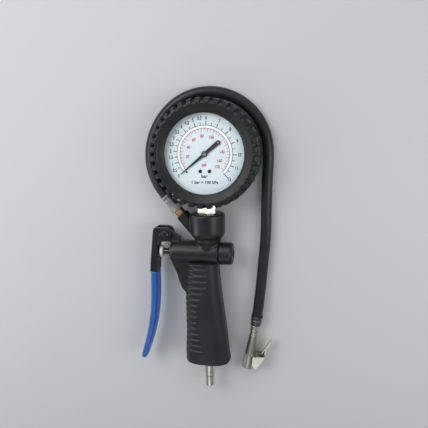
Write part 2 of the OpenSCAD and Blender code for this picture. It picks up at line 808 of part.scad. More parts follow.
module valve_bush() color("#c9a24b")
    difference() {
        turned_x([[0, -head_left - 1.4], [flange_r - 0.4, -head_left - 1.4],
                  [flange_r, -head_left - 1], [flange_r, -head_left],
                  [chamber_r, -head_left], [chamber_r, bush_end], [0, bush_end]]);
        rod_x(plunger_r + fit, -head_left - 2, bush_end + 1);
        rod_x(plunger_r + 1.2, -20, bush_end + 1);
        rod_x(plunger_r + 0.95 + oring_r, oring_x - 1.2, oring_x + 1.2);
        // Cross hole that lets the air out to the hose
        rod_y(2.2, head_y, head_y + chamber_r + 1, -14);
    }

module plunger_oring() color("#141414")
    ring_x(oring_x, plunger_r + 0.05 + oring_r, oring_r);

module plunger() color("#c9a24b") {
    rod_x(plunger_r, shaft_x - 2, -19);
    rod_x(2.2, -19.1, poppet_x);
    turned_x([[0, poppet_x], [poppet_r, poppet_x], [poppet_r, poppet_x + 2.2],
              [poppet_r - 0.8, poppet_x + poppet_t], [2.2, poppet_x + poppet_t],
              [2.2, poppet_x + poppet_t + 2.6], [0, poppet_x + poppet_t + 2.6]]);
}

// The button's domed face rolls on the lever's pad
dome_r = 12;
dome_rise = dome_r - sqrt(dome_r * dome_r - button_r * button_r);

module plunger_button() color("#dcdad0")
    difference() {
        turned_x(concat(
            [for (i = [0:8]) let (a = asin(button_r / dome_r) * i / 8)
                [dome_r * sin(a), button_x + dome_r - dome_r * cos(a)]],
            [[button_r, shaft_x - 1.4], [button_r - 0.4, shaft_x - 0.4],
             [button_r - 1.4, shaft_x], [0, shaft_x]]
        ));
        rod_x(plunger_r, shaft_x - 2, shaft_x + 1);
    }

module valve_seal() color("#141414")
    difference() {
        rod_x(poppet_r - 0.2, bush_end + 0.02, poppet_x);
        rod_x(2.2, bush_end - 1, poppet_x + 1);
    }

valve_coil = coil_x(3.4, poppet_x + poppet_t + valve_wire / 2 + 0.03,
                    spring_seat - poppet_x - poppet_t - valve_wire - 0.06,
                    valve_turns, head_y, tool_z);
echo(valve_spring_gap = coil_gap(valve_coil, valve_wire));

module valve_spring() color("#9fa4a8")
    tube(valve_coil, valve_wire / 2, 6, [1, 0, 0]);

module end_cap() color("#2e3133")
    difference() {
        turned_x([
            [0, head_right - 7], [chamber_r - fit, head_right - 7],
            [chamber_r - fit, head_right + 0.1], [cap_r - 0.8, head_right + 0.1],
            [cap_r, head_right + 0.9], [cap_r, head_right + cap_len - 2.5],
            [cap_r - 0.7, head_right + cap_len - 0.8], [cap_r - 2.4, head_right + cap_len],
            [0, head_right + cap_len]
        ]);
        rod_x(4.6, head_right - 8, spring_seat);
        // Groove for the ring that seals the cap
        difference() {
            rod_x(chamber_r + 1, head_right - 3.6, head_right - 1.4);
            rod_x(chamber_r - 1.5, head_right - 4, head_right);
        }
        // Hexagonal socket for the key
        translate([head_right + cap_len - 5, head_y, tool_z]) rotate([0, 90, 0])
            cylinder(d = 8 / cos(30), h = 6, $fn = 6);
    }

module cap_oring() color("#141414")
    ring_x(head_right - 2.5, chamber_r - 0.76, 0.7);

// ---- Lever -----------------------------------------------------------------------------

ear_r = 7.2;
pad_x = button_x - gap;
sleeve_top = pivot[1] - 38.3;
sleeve_half_w = lever_w / 2 + 1;
// Centre line of the lever's lower part, seen from the front
lever_line = [for (p = [[-12.1, -38.3], [-11.9, -81.3], [-15.9, -99.3], [-27.1, -132.3]]) pivot + p];
lever_depth = [[0, 7.8], [0.25, 7.8], [0.5, 7.6], [0.75, 7.2], [1, 6.2]];

// Section of the lever at t along its centre line, smaller by wall all round
function lever_ring(t, wall, turn = 0) =
    let (
        p = bezier(lever_line, t),
        d = unit(bezier(lever_line, min(1, t + 0.01)) - bezier(lever_line, max(0, t - 0.01))),
        side = [-d[1], d[0]],
        a = lookup(t, lever_depth) / 2 - wall,
        b = sleeve_half_w - wall - 1.6 * t * t * t,
        n = 28
    )
    [for (i = [0:n - 1])
        let (u = 360 * i / n, s = a * spow(cos(u), 0.6), w = b * spow(sin(u), 0.6))
        [p[0] + side[0] * s + d[0] * turn, p[1] + side[1] * s + d[1] * turn, tool_z + w]];

// Sections of the lever's core, which starts inside the upper part
function core_rings(wall) =
    concat([lever_ring(0, wall, -1)], [for (t = [0:0.1:0.9]) lever_ring(t, wall)]);

// Upper part of the lever seen from the front, anticlockwise
lever_head = concat(
    arc(pivot, ear_r, -60, 90, 12),
    [for (p = [[-9.3, 7.1], [-10.6, 6.2], [-11.4, 3.7], [-14.9, -27.3], [-15.8, fit - 38.3],
               [-8.6, fit - 38.3], [-7.9, -25.8]]) pivot + p],
    [[pad_x, pivot[1] - 24.9], [pad_x, pivot[1] - 9.3], pivot + [-5.1, -7.7]]
);

module lever() color("#2a2c2e")
    difference() {
        union() {
            translate([0, 0, tool_z - lever_w / 2]) linear_extrude(lever_w)
                polygon(lever_head);
            skin(core_rings(sleeve_wall));
        }
        // Slot between the two ears
        block([pivot[0] - 8.2, pivot[1] - 9.1, tool_z - lug_w / 2 - gap],
              [pivot[0] + 15, pivot[1] + 20, tool_z + lug_w / 2 + gap]);
        rod_z(pin_r + 0.01, 0, 2 * tool_z, pivot[0], pivot[1]);
    }

module lever_sleeve() color("#2a63b8")
    difference() {
        skin(concat(
            [lever_ring(0, 0.7), lever_ring(0.008, 0)],
            [for (t = [0.08:0.08:0.96]) lever_ring(t, 0)],
            [lever_ring(1, 0.1), lever_ring(1, 0.7, 1.2), lever_ring(1, 1.8, 2)]
        ));
        skin(concat(core_rings(sleeve_wall - fit), [lever_ring(0.9, sleeve_wall - fit, fit)]));
    }

module lever_pin() color("#6f7479")
    turned_z([
        [0, tool_z - lever_w / 2 - 2.2], [pin_r - 0.4, tool_z - lever_w / 2 - 2.2],
        [pin_r, tool_z - lever_w / 2 - 1.8], [pin_r, tool_z - lever_w / 2 - 1.1],
        [pin_r - 0.6, tool_z - lever_w / 2 - 1.1], [pin_r - 0.6, tool_z - lever_w / 2 - 0.2],
        [pin_r, tool_z - lever_w / 2 - 0.2], [pin_r, tool_z + lever_w / 2],
        [4.4, tool_z + lever_w / 2], [4.4, tool_z + lever_w / 2 + 1],
        [3.4, tool_z + lever_w / 2 + 1.9], [0, tool_z + lever_w / 2 + 2.3]
    ], pivot[0], pivot[1]);

module pin_clip() color("#8e9499")
    translate([pivot[0], pivot[1], tool_z - lever_w / 2 - 1]) linear_extrude(0.7)
        difference() {
            circle(4.4);
            circle(pin_r - 0.6);
            translate([0, -1.3]) square([6, 2.6]);
        }

// ---- Inlet plug ------------------------------------------------------------------------

hex_y0 = core_y - 0.8;
plug_y = hex_y0 - 6;
plug_end = plug_y - nose_len;

module inlet_plug() color("#c3c4c0")
    difference() {
        union() {
            rod_y(thread_r, core_y - 0.1, core_y + 12.3);
            rod_y(core_r - 2, hex_y0, core_y);
            intersection() {
                hex_y(plug_af, plug_y, hex_y0);
                turned_y([[0, plug_y], [plug_af * 0.53, plug_y], [plug_af * 0.58, plug_y + 0.8],
                          [plug_af * 0.58, hex_y0], [0, hex_y0]]);
            }
            turned_y([
                [0, plug_y + 0.1], [nose_r + 0.6, plug_y], [nose_r + 0.6, plug_y - 10.2],
                [nose_r + 0.2, plug_y - 10.8], [nose_r - 0.7, plug_y - 11.2],
                [nose_r - 0.7, plug_y - 12.6], [nose_r, plug_y - 13.2],
                [nose_r, plug_end + 1.4], [nose_r - 1.1, plug_end], [0, plug_end]
            ]);
        }
        rod_y(2.6, plug_end - 1, core_y + 13);
    }

module inlet_filter() color("#b08d5a")
    difference() {
        union() {
            rod_y(thread_r - 0.2, core_y + 12.35, core_y + 13.4);
            rod_y(3.6, core_y + 13.3, core_y + 22);
        }
        rod_y(2.8, core_y + 12, core_y + 21);
    }

// ---- Hose and its fittings at the arm --------------------------------------------------

bush_thread_r = 4.9;
tail_len = 20.6;

module hose_bush() color("#c08a5c")
    on_arm() difference() {
        union() {
            translate([0, 0, -8.9]) cylinder(r = bush_thread_r, h = 9);
            rotate_extrude() polygon([[0, 0], [4.4, 0], [4.8, 0.4], [4.8, 5.3], [0, 5.3]]);
            cylinder(r = 3.1, h = tail_len);
        }
        translate([0, 0, -10]) cylinder(r = 2, h = tail_len + 11);
    }

module hose_nut() color("#c8c6bd")
    on_arm() difference() {
        intersection() {
            translate([0, 0, 5.4]) cylinder(d = hose_af / cos(30), h = 5.6, $fn = 6);
            rotate_extrude() polygon([
                [0, 5.4], [hose_af * 0.51, 5.4], [hose_af * 0.58, 6.4],
                [hose_af * 0.58, 10], [hose_af * 0.51, 11], [0, 11]]);
        }
        cylinder(r = 3.12, h = 12);
    }

module hose_ferrule() color("#7d8285")
    on_arm() difference() {
        rotate_extrude() polygon([
            [0, 11.05], [ferrule_r - 1, 11.05], [ferrule_r - 0.6, 11.5],
            [ferrule_r - 0.6, 13.6], [ferrule_r - 1.1, 14.2], [ferrule_r - 1.1, 16],
            [ferrule_r - 0.6, 16.6], [ferrule_r - 0.6, 18.2], [ferrule_r - 1.1, 18.8],
            [ferrule_r - 1.1, 20.4], [ferrule_r, 21.4], [ferrule_r, 23.3],
            [ferrule_r - 0.2, 23.6], [0, 23.6]]);
        cylinder(r = 3.12, h = 30);
        translate([0, 0, hose_start - 0.05]) cylinder(r = hose_r + 0.1, h = 4);
    }

// The hose's route on the bench, from the arm round the boot to the chuck
hose_start = 22;
loop_r = boot_r + 6.3;      // the hose's loop round the boot
loop_z = [16.2, 14.4, 12, 9.4, 7.2, 5.8, 5.3];
hose_route = concat(
    [for (t = [hose_start, hose_start + 4.7]) concat(arm_end + t * arm_dir, tool_z)],
    [for (i = [0:16]) concat(polar(loop_r, 208 - 13 * i), loop_z[min(i, 6)])],
    [for (p = [[0.2, 13, 5.3], [0.8, 27, 5.3], [1.2, 42, 5.3], [1.4, 58, 5.3], [1.6, 75, 5.3],
               [2.5, 92, 5.3], [3.9, 108, 5.3], [5.2, 124, 5.5], [6.7, 140, 6.4], [7.9, 152, 7.3],
               [9.05, 161, 7.6], [9.7, 165, 7.6]]) [loop_r - p[0], -p[1], p[2]]]
);

module hose() color("#1d1e20") tube(hose_route, hose_r, 10);

// ---- Chuck -----------------------------------------------------------------------------

hose_exit = [loop_r - 9.7, -165, chuck_z];
clip_pivot = [5.5, -43.2];
mouth_y = -57;
mouth_depth = 10;
seal_y = mouth_y + mouth_depth;         // outer face of the chuck's seal
seal_t = 3;
seal_r = mouth_r + 0.55;
plate_z = chuck_r + gap;

// Places its children on the chuck: local -Y runs from the hose's end out of the mouth.
module on_chuck() translate(hose_exit) rotate(-chuck_lean) children();

module chuck_turned(profile)
    on_chuck() rotate([-90, 0, 0]) rotate_extrude() polygon(profile);

module chuck_rod(r, y0, y1)
    on_chuck() translate([0, y0, 0]) rotate([-90, 0, 0]) cylinder(r = r, h = y1 - y0);

module chuck_ferrule() color("#3b3f42")
    difference() {
        chuck_turned([
            [0, 1.6], [ferrule_r - 0.2, 1.6], [ferrule_r, 1.4], [ferrule_r, -0.6],
            [ferrule_r - 0.7, -1.4], [ferrule_r - 0.7, -2.8], [ferrule_r - 0.4, -3.4],
            [ferrule_r - 0.5, -5.2], [ferrule_r - 0.9, -5.8], [ferrule_r - 0.9, -6.8],
            [ferrule_r - 0.8, -8.4], [ferrule_r - 1.2, -8.8], [0, -8.8]]);
        chuck_rod(hose_r + 0.1, -0.05, 3);
        chuck_rod(2.2, -13, 1);
    }

collar_y = -8.85;

module chuck_collar() color("#c8c6bd")
    difference() {
        chuck_turned([
            [0, collar_y], [4.6, collar_y], [4.9, collar_y - 0.4], [4.9, collar_y - 2.2],
            [4.5, collar_y - 2.6], [3.9, collar_y - 2.9], [3.9, collar_y - 4.5],
            [4.5, collar_y - 4.8], [4.8, collar_y - 5.1], [4.8, collar_y - 6],
            [4.5, collar_y - 6.3], [4.1, collar_y - 6.6], [4.1, collar_y - 10.8],
            [0, collar_y - 10.8]]);
        chuck_rod(2, -30, 1);
    }

body_y = collar_y - 10.85;
slot_w = 4.4;

module chuck_body() color("#a9a59a")
    difference() {
        union() {
            chuck_turned([
                [0, body_y], [4.1, body_y], [4.5, body_y - 0.4], [4.5, -27],
                [chuck_r, -42], [chuck_r, mouth_y + 0.5], [chuck_r - 0.4, mouth_y],
                [0, mouth_y]]);
            // Bosses that space the clip's plates off the body
            on_chuck() translate([clip_pivot[0], clip_pivot[1], 0.1 - plate_z])
                cylinder(r = 2, h = 2 * plate_z - 0.2);
        }
        chuck_rod(mouth_r, mouth_y - 1, seal_y + 1);
        chuck_rod(seal_r, seal_y, seal_y + seal_t);
        chuck_rod(1.6, mouth_y, 0);
        // Window that the clip's claw reaches through to the valve's thread
        on_chuck() translate([mouth_r - 1, mouth_y + 1.6, -slot_w / 2])
            cube([chuck_r, 3, slot_w]);
    }

module chuck_seal() color("#141414")
    difference() {
        chuck_rod(seal_r - 0.02, seal_y + 0.02, seal_y + seal_t - 0.02);
        chuck_rod(2.2, mouth_y, 0);
    }

module valve_depressor() color("#c9a24b")
    difference() {
        union() {
            chuck_rod(0.9, seal_y + 0.3, seal_y + seal_t + 0.2);
            chuck_rod(1.55, seal_y + seal_t + 0.1, seal_y + seal_t + 3);
        }
        // Flats that let the air past
        on_chuck() for (s = [-1, 1])
            translate([s * 1.6, seal_y + seal_t + 2, 0]) cube([1, 5, 4], center = true);
    }

rivet_r = 1.2;
rivet_head = 0.4;

module clip_rivets() color("#c8c6bd")
    on_chuck() for (s = [-1, 1])
        translate([clip_pivot[0], clip_pivot[1], 0]) mirror([0, 0, s < 0 ? 1 : 0]) {
            translate([0, 0, plate_z - 0.1]) cylinder(r = rivet_r, h = clip_t + 0.3);
            translate([0, 0, plate_z + clip_t + 0.1]) cylinder(r = 1.9, h = rivet_head);
        }

// Side plate of the clip, anticlockwise in the chuck's own frame
clip_plate = [
    [4.6, -50.2], [5.4, -51.8], [7.4, -53.8], [9.2, -54], [14.9, -41.2], [14.9, -39.4],
    [14.4, -38.9], [5.4, -41.1], [4.2, -41.9], [3.6, -43.4]
];
// Back of the clip's channel
clip_back = [[8.3, -53.9], [9.5, -54.2], [15.5, -40.9], [15.5, -39.2], [14.6, -39], [14.4, -40.6]];
// Thumb tab: out from the back to its fold at the tip, and back down inside
clip_tab = [
    [14.6, -40.8], [15.5, -40.8], [15.7, -33], [19.2, -22], [18.8, -21.2], [18, -21.6],
    [10.1, -41], [10.9, -41.4], [16.9, -26.6], [14.7, -33.2]
];

module clip_lever() color("#b5b0a2")
    on_chuck() difference() {
        union() {
            for (s = [-1, 1])
                translate([0, 0, s < 0 ? -plate_z - clip_t : plate_z])
                    linear_extrude(clip_t) polygon(clip_plate);
            translate([0, 0, -plate_z - 0.1]) linear_extrude(2 * plate_z + 0.2)
                polygon(clip_back);
            translate([0, 0, -tab_w / 2]) linear_extrude(tab_w) polygon(clip_tab);
            // Claw
            translate([0, 0, gap - slot_w / 2]) linear_extrude(slot_w - 2 * gap)
                polygon([[mouth_r + 0.15, -54.4], [6.4, -54.4], [9, -54], [9, -52.8],
                         [mouth_r + 0.15, -54]]);
        }
        translate([clip_pivot[0], clip_pivot[1], -20]) cylinder(r = rivet_r + fit, h = 40);
    }

clip_wire = 0.5;
clip_coil = coil_x(1.4, chuck_r + 0.35, 4.6, 4, clip_pivot[1] + 4, 0);
echo(clip_spring_gap = coil_gap(clip_coil, clip_wire));

module clip_spring() color("#9fa4a8")
    on_chuck() tube(clip_coil, clip_wire / 2, 6, [1, 0, 0]);

// ---- Output ----------------------------------------------------------------------------

boot();
gauge_case();
bezel_ring();
lens();
lens_gasket();
dial_plate();
dial_standoffs();
dial_screws();
pointer();
pointer_arbor();
hairspring();
sector_gear();
sector_shaft();
movement_back_plate();
movement_front_plate();
movement_pillars();
movement_screws();
link();
tube_tip();
bourdon_tube();
gauge_socket();
case_screws();
stem_locknut();
body_casting();
grip();
valve_bush();
plunger_oring();
plunger();
plunger_button();
valve_seal();
valve_spring();
end_cap();
cap_oring();
lever();
lever_sleeve();
lever_pin();
pin_clip();
inlet_plug();
inlet_filter();
hose_bush();
hose_nut();
hose_ferrule();
hose();
chuck_ferrule();
chuck_collar();
chuck_body();
chuck_seal();
valve_depressor();
clip_rivets();
clip_lever();
clip_spring();
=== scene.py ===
"""The looks of a hand-held tyre inflator with a dial gauge, dressed over its fixed frame.

The tool lies on its back on a pale bench: +Z comes out of the dial, +Y points to the top of
the gauge, and the handle runs along -Y. Sizes are written in millimetres and turned to metres
where a mesh is made. Angles are in degrees, anticlockwise from +X.
"""

import logging
import math
from dataclasses import dataclass, field
from enum import Enum

import bmesh
import bpy
from mathutils import Matrix, Vector


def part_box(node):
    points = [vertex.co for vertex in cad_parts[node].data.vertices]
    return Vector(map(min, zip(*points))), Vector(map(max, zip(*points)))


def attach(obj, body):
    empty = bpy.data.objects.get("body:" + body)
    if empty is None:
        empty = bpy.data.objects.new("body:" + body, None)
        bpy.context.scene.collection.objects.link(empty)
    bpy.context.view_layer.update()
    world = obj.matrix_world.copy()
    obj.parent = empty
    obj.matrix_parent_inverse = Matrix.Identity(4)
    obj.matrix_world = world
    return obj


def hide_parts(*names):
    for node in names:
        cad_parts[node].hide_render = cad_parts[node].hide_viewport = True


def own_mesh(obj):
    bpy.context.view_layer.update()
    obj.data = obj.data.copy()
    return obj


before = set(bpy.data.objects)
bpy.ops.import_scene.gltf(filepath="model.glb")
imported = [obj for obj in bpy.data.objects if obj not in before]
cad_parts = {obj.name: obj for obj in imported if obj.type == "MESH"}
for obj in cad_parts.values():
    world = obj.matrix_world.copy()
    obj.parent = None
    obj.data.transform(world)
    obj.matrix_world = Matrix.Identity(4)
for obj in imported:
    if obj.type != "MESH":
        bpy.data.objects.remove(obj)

Point = tuple[float, float, float]
Flat = tuple[float, float]
MeshData = tuple[list[Point], list[tuple[int, ...]]]
Tree = bpy.types.NodeTree
Socket = bpy.types.NodeSocket

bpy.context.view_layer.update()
MM = 0.001
# Height of the middle plane that the valve, the handle, the lever and the hose arm share
MID_HEIGHT = 17.0
# Directions of the hose arm and of the chuck, both towards the gauge, and across the chuck
ARM_AXIS: Point = (-0.6561, 0.7547, 0.0)
CHUCK_AXIS: Point = (0.1736, 0.9848, 0.0)
CHUCK_ACROSS: Point = (0.9848, -0.1736, 0.0)

log = logging.getLogger("tyre_inflator")


class Body(Enum):
    """The bodies that new pieces ride on."""

    TOOL = "tool"
    POINTER = "pointer_shaft"
    LEVER = "squeeze_lever"


class Slot(Enum):
    """The record's material slots."""

    BOOT = "boot_rubber"
    DIAL = "dial_white"
    POINTER = "pointer_black"
    STEEL = "bright_steel"
    CASTING = "body_black"
    GRIP = "grip_rubber"
    LEVER = "lever_black"
    SLEEVE = "sleeve_blue"
    HOSE = "hose_rubber"


# ---- Shader helpers --------------------------------------------------------------------

# Numbers of a Mix node's colour sockets, whose names its other sockets share
MIX_SHARE, MIX_FIRST, MIX_SECOND, MIX_RESULT = 0, 6, 7, 2
# Most values of a noise lie between these two
NOISE_LOW, NOISE_HIGH = 0.3, 0.7
# Size of the patches of gloss against the patches of colour, and against the tool marks' pitch
GLOSS_PATCH, GLOSS_MARKS = 0.6, 3


def linear(hex_colour: str, alpha: float = 1.0) -> tuple[float, float, float, float]:
    """Turn an sRGB hex colour to linear light.

    Args:
        hex_colour: Six hex digits after a hash sign.
        alpha: The fourth value of the result.

    Returns:
        Linear red, green, blue and alpha.
    """
    channels = [int(hex_colour[i : i + 2], 16) / 255 for i in (1, 3, 5)]
    red, green, blue = (
        c / 12.92 if c <= 0.04045 else ((c + 0.055) / 1.055) ** 2.4 for c in channels
    )
    return (red, green, blue, alpha)


def add(tree: Tree, kind: str, inputs: dict[str | int, object] | None = None,
        **settings: object) -> bpy.types.Node:
    """Add one node with its settings, values and links.

    Args:
        tree: The node tree to add to.
        kind: The node's type name.
        inputs: Socket names or numbers, each with a value or an output socket to link.
        **settings: The node's own properties.

    Returns:
        The new node.
    """
    node = tree.nodes.new(kind)
    for name, value in settings.items():
        setattr(node, name, value)
    for key, value in (inputs or {}).items():
        socket = node.inputs[key]
        if isinstance(value, bpy.types.NodeSocket):
            tree.links.new(value, socket)
        else:
            socket.default_value = value
    return node


def blank_material(name: str) -> tuple[bpy.types.Material, Tree]:
    """Make a material that has no nodes yet.

    Args:
        name: The material's name.

    Returns:
        The material and its node tree.
    """
    made = bpy.data.materials.new(name)
    made.use_nodes = True
    made.node_tree.nodes.clear()
    return made, made.node_tree


# ---- Finishes --------------------------------------------------------------------------


@dataclass(frozen=True)
class Finish:
    """A moulded, painted or cast surface with fine grain and uneven colour.

    Pattern sizes are real sizes in millimetres; depth is the height of the grain, and solidity
    is the alpha of the plain viewport colour.
    """

    name: str
    colour: str
    shade: str
    roughness: float
    metallic: float = 0.0
    ior: float = 1.5
    grain: float = 0.5
    depth: float = 0.01
    mottle: float = 9.0
    gloss_swing: float = 0.05
    coat: float = 0.0
    coat_roughness: float = 0.15
    sheen: float = 0.0
    solidity: float = 1.0

    def material(self) -> bpy.types.Material:
        """Make this finish's material on first use, and find it again later.

        Returns:
            The material that all pieces of this finish share.
        """
        found = bpy.data.materials.get(self.name)
        if found:
            return found
        made, tree = blank_material(self.name)
        spot = add(tree, "ShaderNodeTexCoord").outputs["Object"]
        add(tree, "ShaderNodeOutputMaterial", {"Surface": self.surface(tree, spot)})
        made.diffuse_color = linear(self.colour, self.solidity)
        return made

    def surface(self, tree: Tree, spot: Socket) -> Socket:
        """Build the shader.

        Args:
            tree: The material's node tree.
            spot: The place on the piece.

        Returns:
            The shader's output.
        """
        return add(tree, "ShaderNodeBsdfPrincipled", {
            "Base Color": self.tint(tree, spot),
            "Roughness": self.gloss(tree, spot),
            "Normal": self.relief(tree, spot),
            "Metallic": self.metallic,
            "IOR": self.ior,
            "Coat Weight": self.coat,
            "Coat Roughness": self.coat_roughness,
            "Sheen Weight": self.sheen,
        }).outputs[0]

    def cloud(self, tree: Tree, spot: Socket, size: float, detail: float = 3.0) -> Socket:
        """Return a noise whose patches are about size millimetres across."""
        return add(tree, "ShaderNodeTexNoise",
                   {"Vector": spot, "Scale": 1 / (size * MM), "Detail": detail}).outputs["Fac"]

    def spread(self, tree: Tree, value: Socket, low: float, high: float) -> Socket:
        """Return a noise stretched from its usual range to low and high."""
        return add(tree, "ShaderNodeMapRange",
                   {"Value": value, "From Min": NOISE_LOW, "From Max": NOISE_HIGH,
                    "To Min": low, "To Max": high}).outputs[0]

    def tint(self, tree: Tree, spot: Socket) -> Socket:
        """Return the surface's colour, which wanders between colour and shade."""
        patches = self.spread(tree, self.cloud(tree, spot, self.mottle), 0.0, 1.0)
        return add(tree, "ShaderNodeMix",
                   {MIX_SHARE: patches, MIX_FIRST: linear(self.colour),
                    MIX_SECOND: linear(self.shade)}, data_type="RGBA").outputs[MIX_RESULT]

    def gloss(self, tree: Tree, spot: Socket) -> Socket:
        """Return the roughness, which wanders by gloss_swing."""
        return self.spread(tree, self.cloud(tree, spot, self.mottle * GLOSS_PATCH),
                           self.roughness - self.gloss_swing, self.roughness + self.gloss_swing)

    def relief(self, tree: Tree, spot: Socket) -> Socket:
        """Return the normal of the fine grain."""
        return self.bump(tree, self.cloud(tree, spot, self.grain, 2.0))

    def bump(self, tree: Tree, height: Socket) -> Socket:
        """Return the normal of a height map that is depth millimetres high."""
        return add(tree, "ShaderNodeBump", {"Height": height, "Strength": 1.0,
                                            "Distance": self.depth * MM}).outputs[0]


@dataclass(frozen=True)
class TurnedMetal(Finish):
    """A machined surface with fine tool marks round an axis, or brush marks across it."""

    axis: Point = (0.0, 1.0, 0.0)
    pitch: float = 0.25

    def along(self, tree: Tree, spot: Socket, pitch: float) -> Socket:
        """Return a noise that changes only along the axis, once per pitch."""
        length = add(tree, "ShaderNodeVectorMath", {0: spot, 1: self.axis},
                     operation="DOT_PRODUCT").outputs["Value"]
        return add(tree, "ShaderNodeTexNoise",
                   {"W": length, "Scale": 1 / (pitch * MM), "Detail": 2.0},
                   noise_dimensions="1D").outputs["Fac"]

    def gloss(self, tree: Tree, spot: Socket) -> Socket:
        """Return the roughness, which changes from mark to mark."""
        return self.spread(tree, self.along(tree, spot, self.pitch * GLOSS_MARKS),
                           self.roughness - self.gloss_swing, self.roughness + self.gloss_swing)

    def relief(self, tree: Tree, spot: Socket) -> Socket:
        """Return the normal of the tool marks."""
        return self.bump(tree, self.along(tree, spot, self.pitch))


@dataclass(frozen=True)
class ClearSheet(Finish):
    """A clear polished sheet that lets the lamps through to what lies behind it."""

    shadow_tint: str = "#F6F9FA"

    def surface(self, tree: Tree, spot: Socket) -> Socket:
        """Build a clear shader that casts hardly any shadow.

        Args:
            tree: The material's node tree.
            spot: The place on the piece.

        Returns:
            The shader's output.
        """
        clear = add(tree, "ShaderNodeBsdfPrincipled", {
            "Base Color": linear(self.colour), "Roughness": self.roughness, "IOR": self.ior,
            "Transmission Weight": 1.0, "Normal": self.relief(tree, spot)})
        passing = add(tree, "ShaderNodeBsdfTransparent", {"Color": linear(self.shadow_tint)})
        shadow = add(tree, "ShaderNodeLightPath").outputs["Is Shadow Ray"]
        return add(tree, "ShaderNodeMixShader",
                   {0: shadow, 1: clear.outputs[0], 2: passing.outputs[0]}).outputs[0]


# Nitrile rubber, compression moulded: dull near-black, with a faint grey bloom
BOOT_RUBBER = Finish("nitrile_rubber_moulded", "#131415", "#1C1E1F", 0.43, ior=1.52, grain=0.7,
                     depth=0.008, mottle=14, gloss_swing=0.06, sheen=0.05)
# Mild steel, pressed and stoved in black enamel: smooth and fairly glossy
CASE_ENAMEL = Finish("steel_pressed_black_enamel", "#17181A", "#1C1D20", 0.3, grain=1.6,
                     depth=0.006, coat=0.3)
# Acrylic, cut and flame polished: clear, with sharp reflections
LENS_ACRYLIC = ClearSheet("acrylic_polished", "#FBFDFD", "#FFFFFF", 0.03, ior=1.49, grain=22,
                          depth=0.004, solidity=0.3)
# Aluminium sheet, screen printed in satin white: very faint roller texture
DIAL_ENAMEL = Finish("aluminium_printed_white", "#DFE6EC", "#D9E1E8", 0.42, grain=0.5,
                     depth=0.003, mottle=20)
# Screen-printing ink, black: flat, with a thin edge
INK_BLACK = Finish("screen_ink_black", "#1B1D22", "#24272C", 0.5, grain=0.3, depth=0.002)
# Screen-printing ink, red: a little thin, so that white shows through it
INK_RED = Finish("screen_ink_red", "#BE4E55", "#C85E62", 0.5, grain=0.3, depth=0.002)
# Screen-printing ink, opaque white, for the band between the scales
INK_WHITE = Finish("screen_ink_white", "#F7F9FA", "#F2F5F7", 0.45, grain=0.3, depth=0.002)
# Aluminium sheet, stamped and painted black: matt
POINTER_PAINT = Finish("aluminium_stamped_black", "#121316", "#191A1D", 0.45, grain=0.4,
                       depth=0.004)
# Brass, stamped and machined: warm yellow with fine marks
MOVEMENT_BRASS = TurnedMetal("brass_machined", "#C9A055", "#B98E46", 0.3, metallic=1.0,
                             depth=0.004, mottle=5, axis=(1.0, 0.3, 0.0))
# Red brass, turned on a lathe and left bare, for the hose bush: pinkish, with soft rings
BUSH_BRASS = TurnedMetal("brass_turned_red", "#E9BB9C", "#DDA988", 0.36, metallic=1.0,
                         depth=0.002, mottle=4, axis=ARM_AXIS)
# Steel, turned and zinc plated: pale grey with a cool cast
ZINC_STEEL = TurnedMetal("steel_zinc_plated", "#B7BABD", "#A5A9AE", 0.3, metallic=1.0,
                         depth=0.004, mottle=5, axis=(0.0, 0.0, 1.0))
# Steel wire, drawn: bright along its length
SPRING_STEEL = Finish("steel_wire_drawn", "#9EA2A6", "#8B9095", 0.3, metallic=1.0, grain=0.2,
                      depth=0.003, mottle=2)
# Brass, turned and nickel plated: warm bright silver with faint rings
GAUGE_NICKEL = TurnedMetal("brass_nickel_plated", "#E4E0D6", "#D5CFC2", 0.26, metallic=1.0,
                           depth=0.002, mottle=6)
ARM_NICKEL = TurnedMetal("brass_nickel_plated_arm", "#E6E4DD", "#D8D4CA", 0.28, metallic=1.0,
                         depth=0.002, mottle=6, axis=ARM_AXIS)
CHUCK_NICKEL = TurnedMetal("brass_nickel_plated_chuck", "#DAD7CE", "#C6C2B7", 0.27,
                           metallic=1.0, depth=0.003, mottle=5, axis=CHUCK_AXIS)
# Zinc, die cast and nickel plated satin: warm grey, soft long reflections
CHUCK_ZINC = Finish("zinc_cast_satin_nickel", "#C9C4BA", "#B9B4AA", 0.33, metallic=1.0, grain=0.5,
                    depth=0.003, mottle=6, gloss_swing=0.04)
# Steel, crimped and dull zinc plated: light grey with soft reflections
ARM_FERRULE = TurnedMetal("steel_crimped_zinc", "#BFC3C4", "#A9AEB0", 0.36, metallic=1.0,
                          depth=0.003, mottle=4, gloss_swing=0.06, axis=ARM_AXIS)
CHUCK_FERRULE = TurnedMetal("steel_crimped_grey_chuck", "#77797A", "#65686A", 0.36, metallic=1.0,
                            depth=0.004, mottle=4, gloss_swing=0.06, axis=CHUCK_AXIS)
# Steel, turned and oil blacked: dark, with a bright edge where it catches the light
BLACKED_STEEL = TurnedMetal("steel_turned_oil_blacked", "#55585C", "#44474B", 0.3, metallic=1.0,
                            depth=0.003, mottle=4, axis=(1.0, 0.0, 0.0))
# Steel strip, stamped, folded and nickel plated: bright with long brush marks
CLIP_STEEL = TurnedMetal("steel_strip_nickel_plated", "#E4E1D9", "#D6D2C8", 0.25,
                         metallic=1.0, depth=0.002, mottle=4, axis=CHUCK_ACROSS)
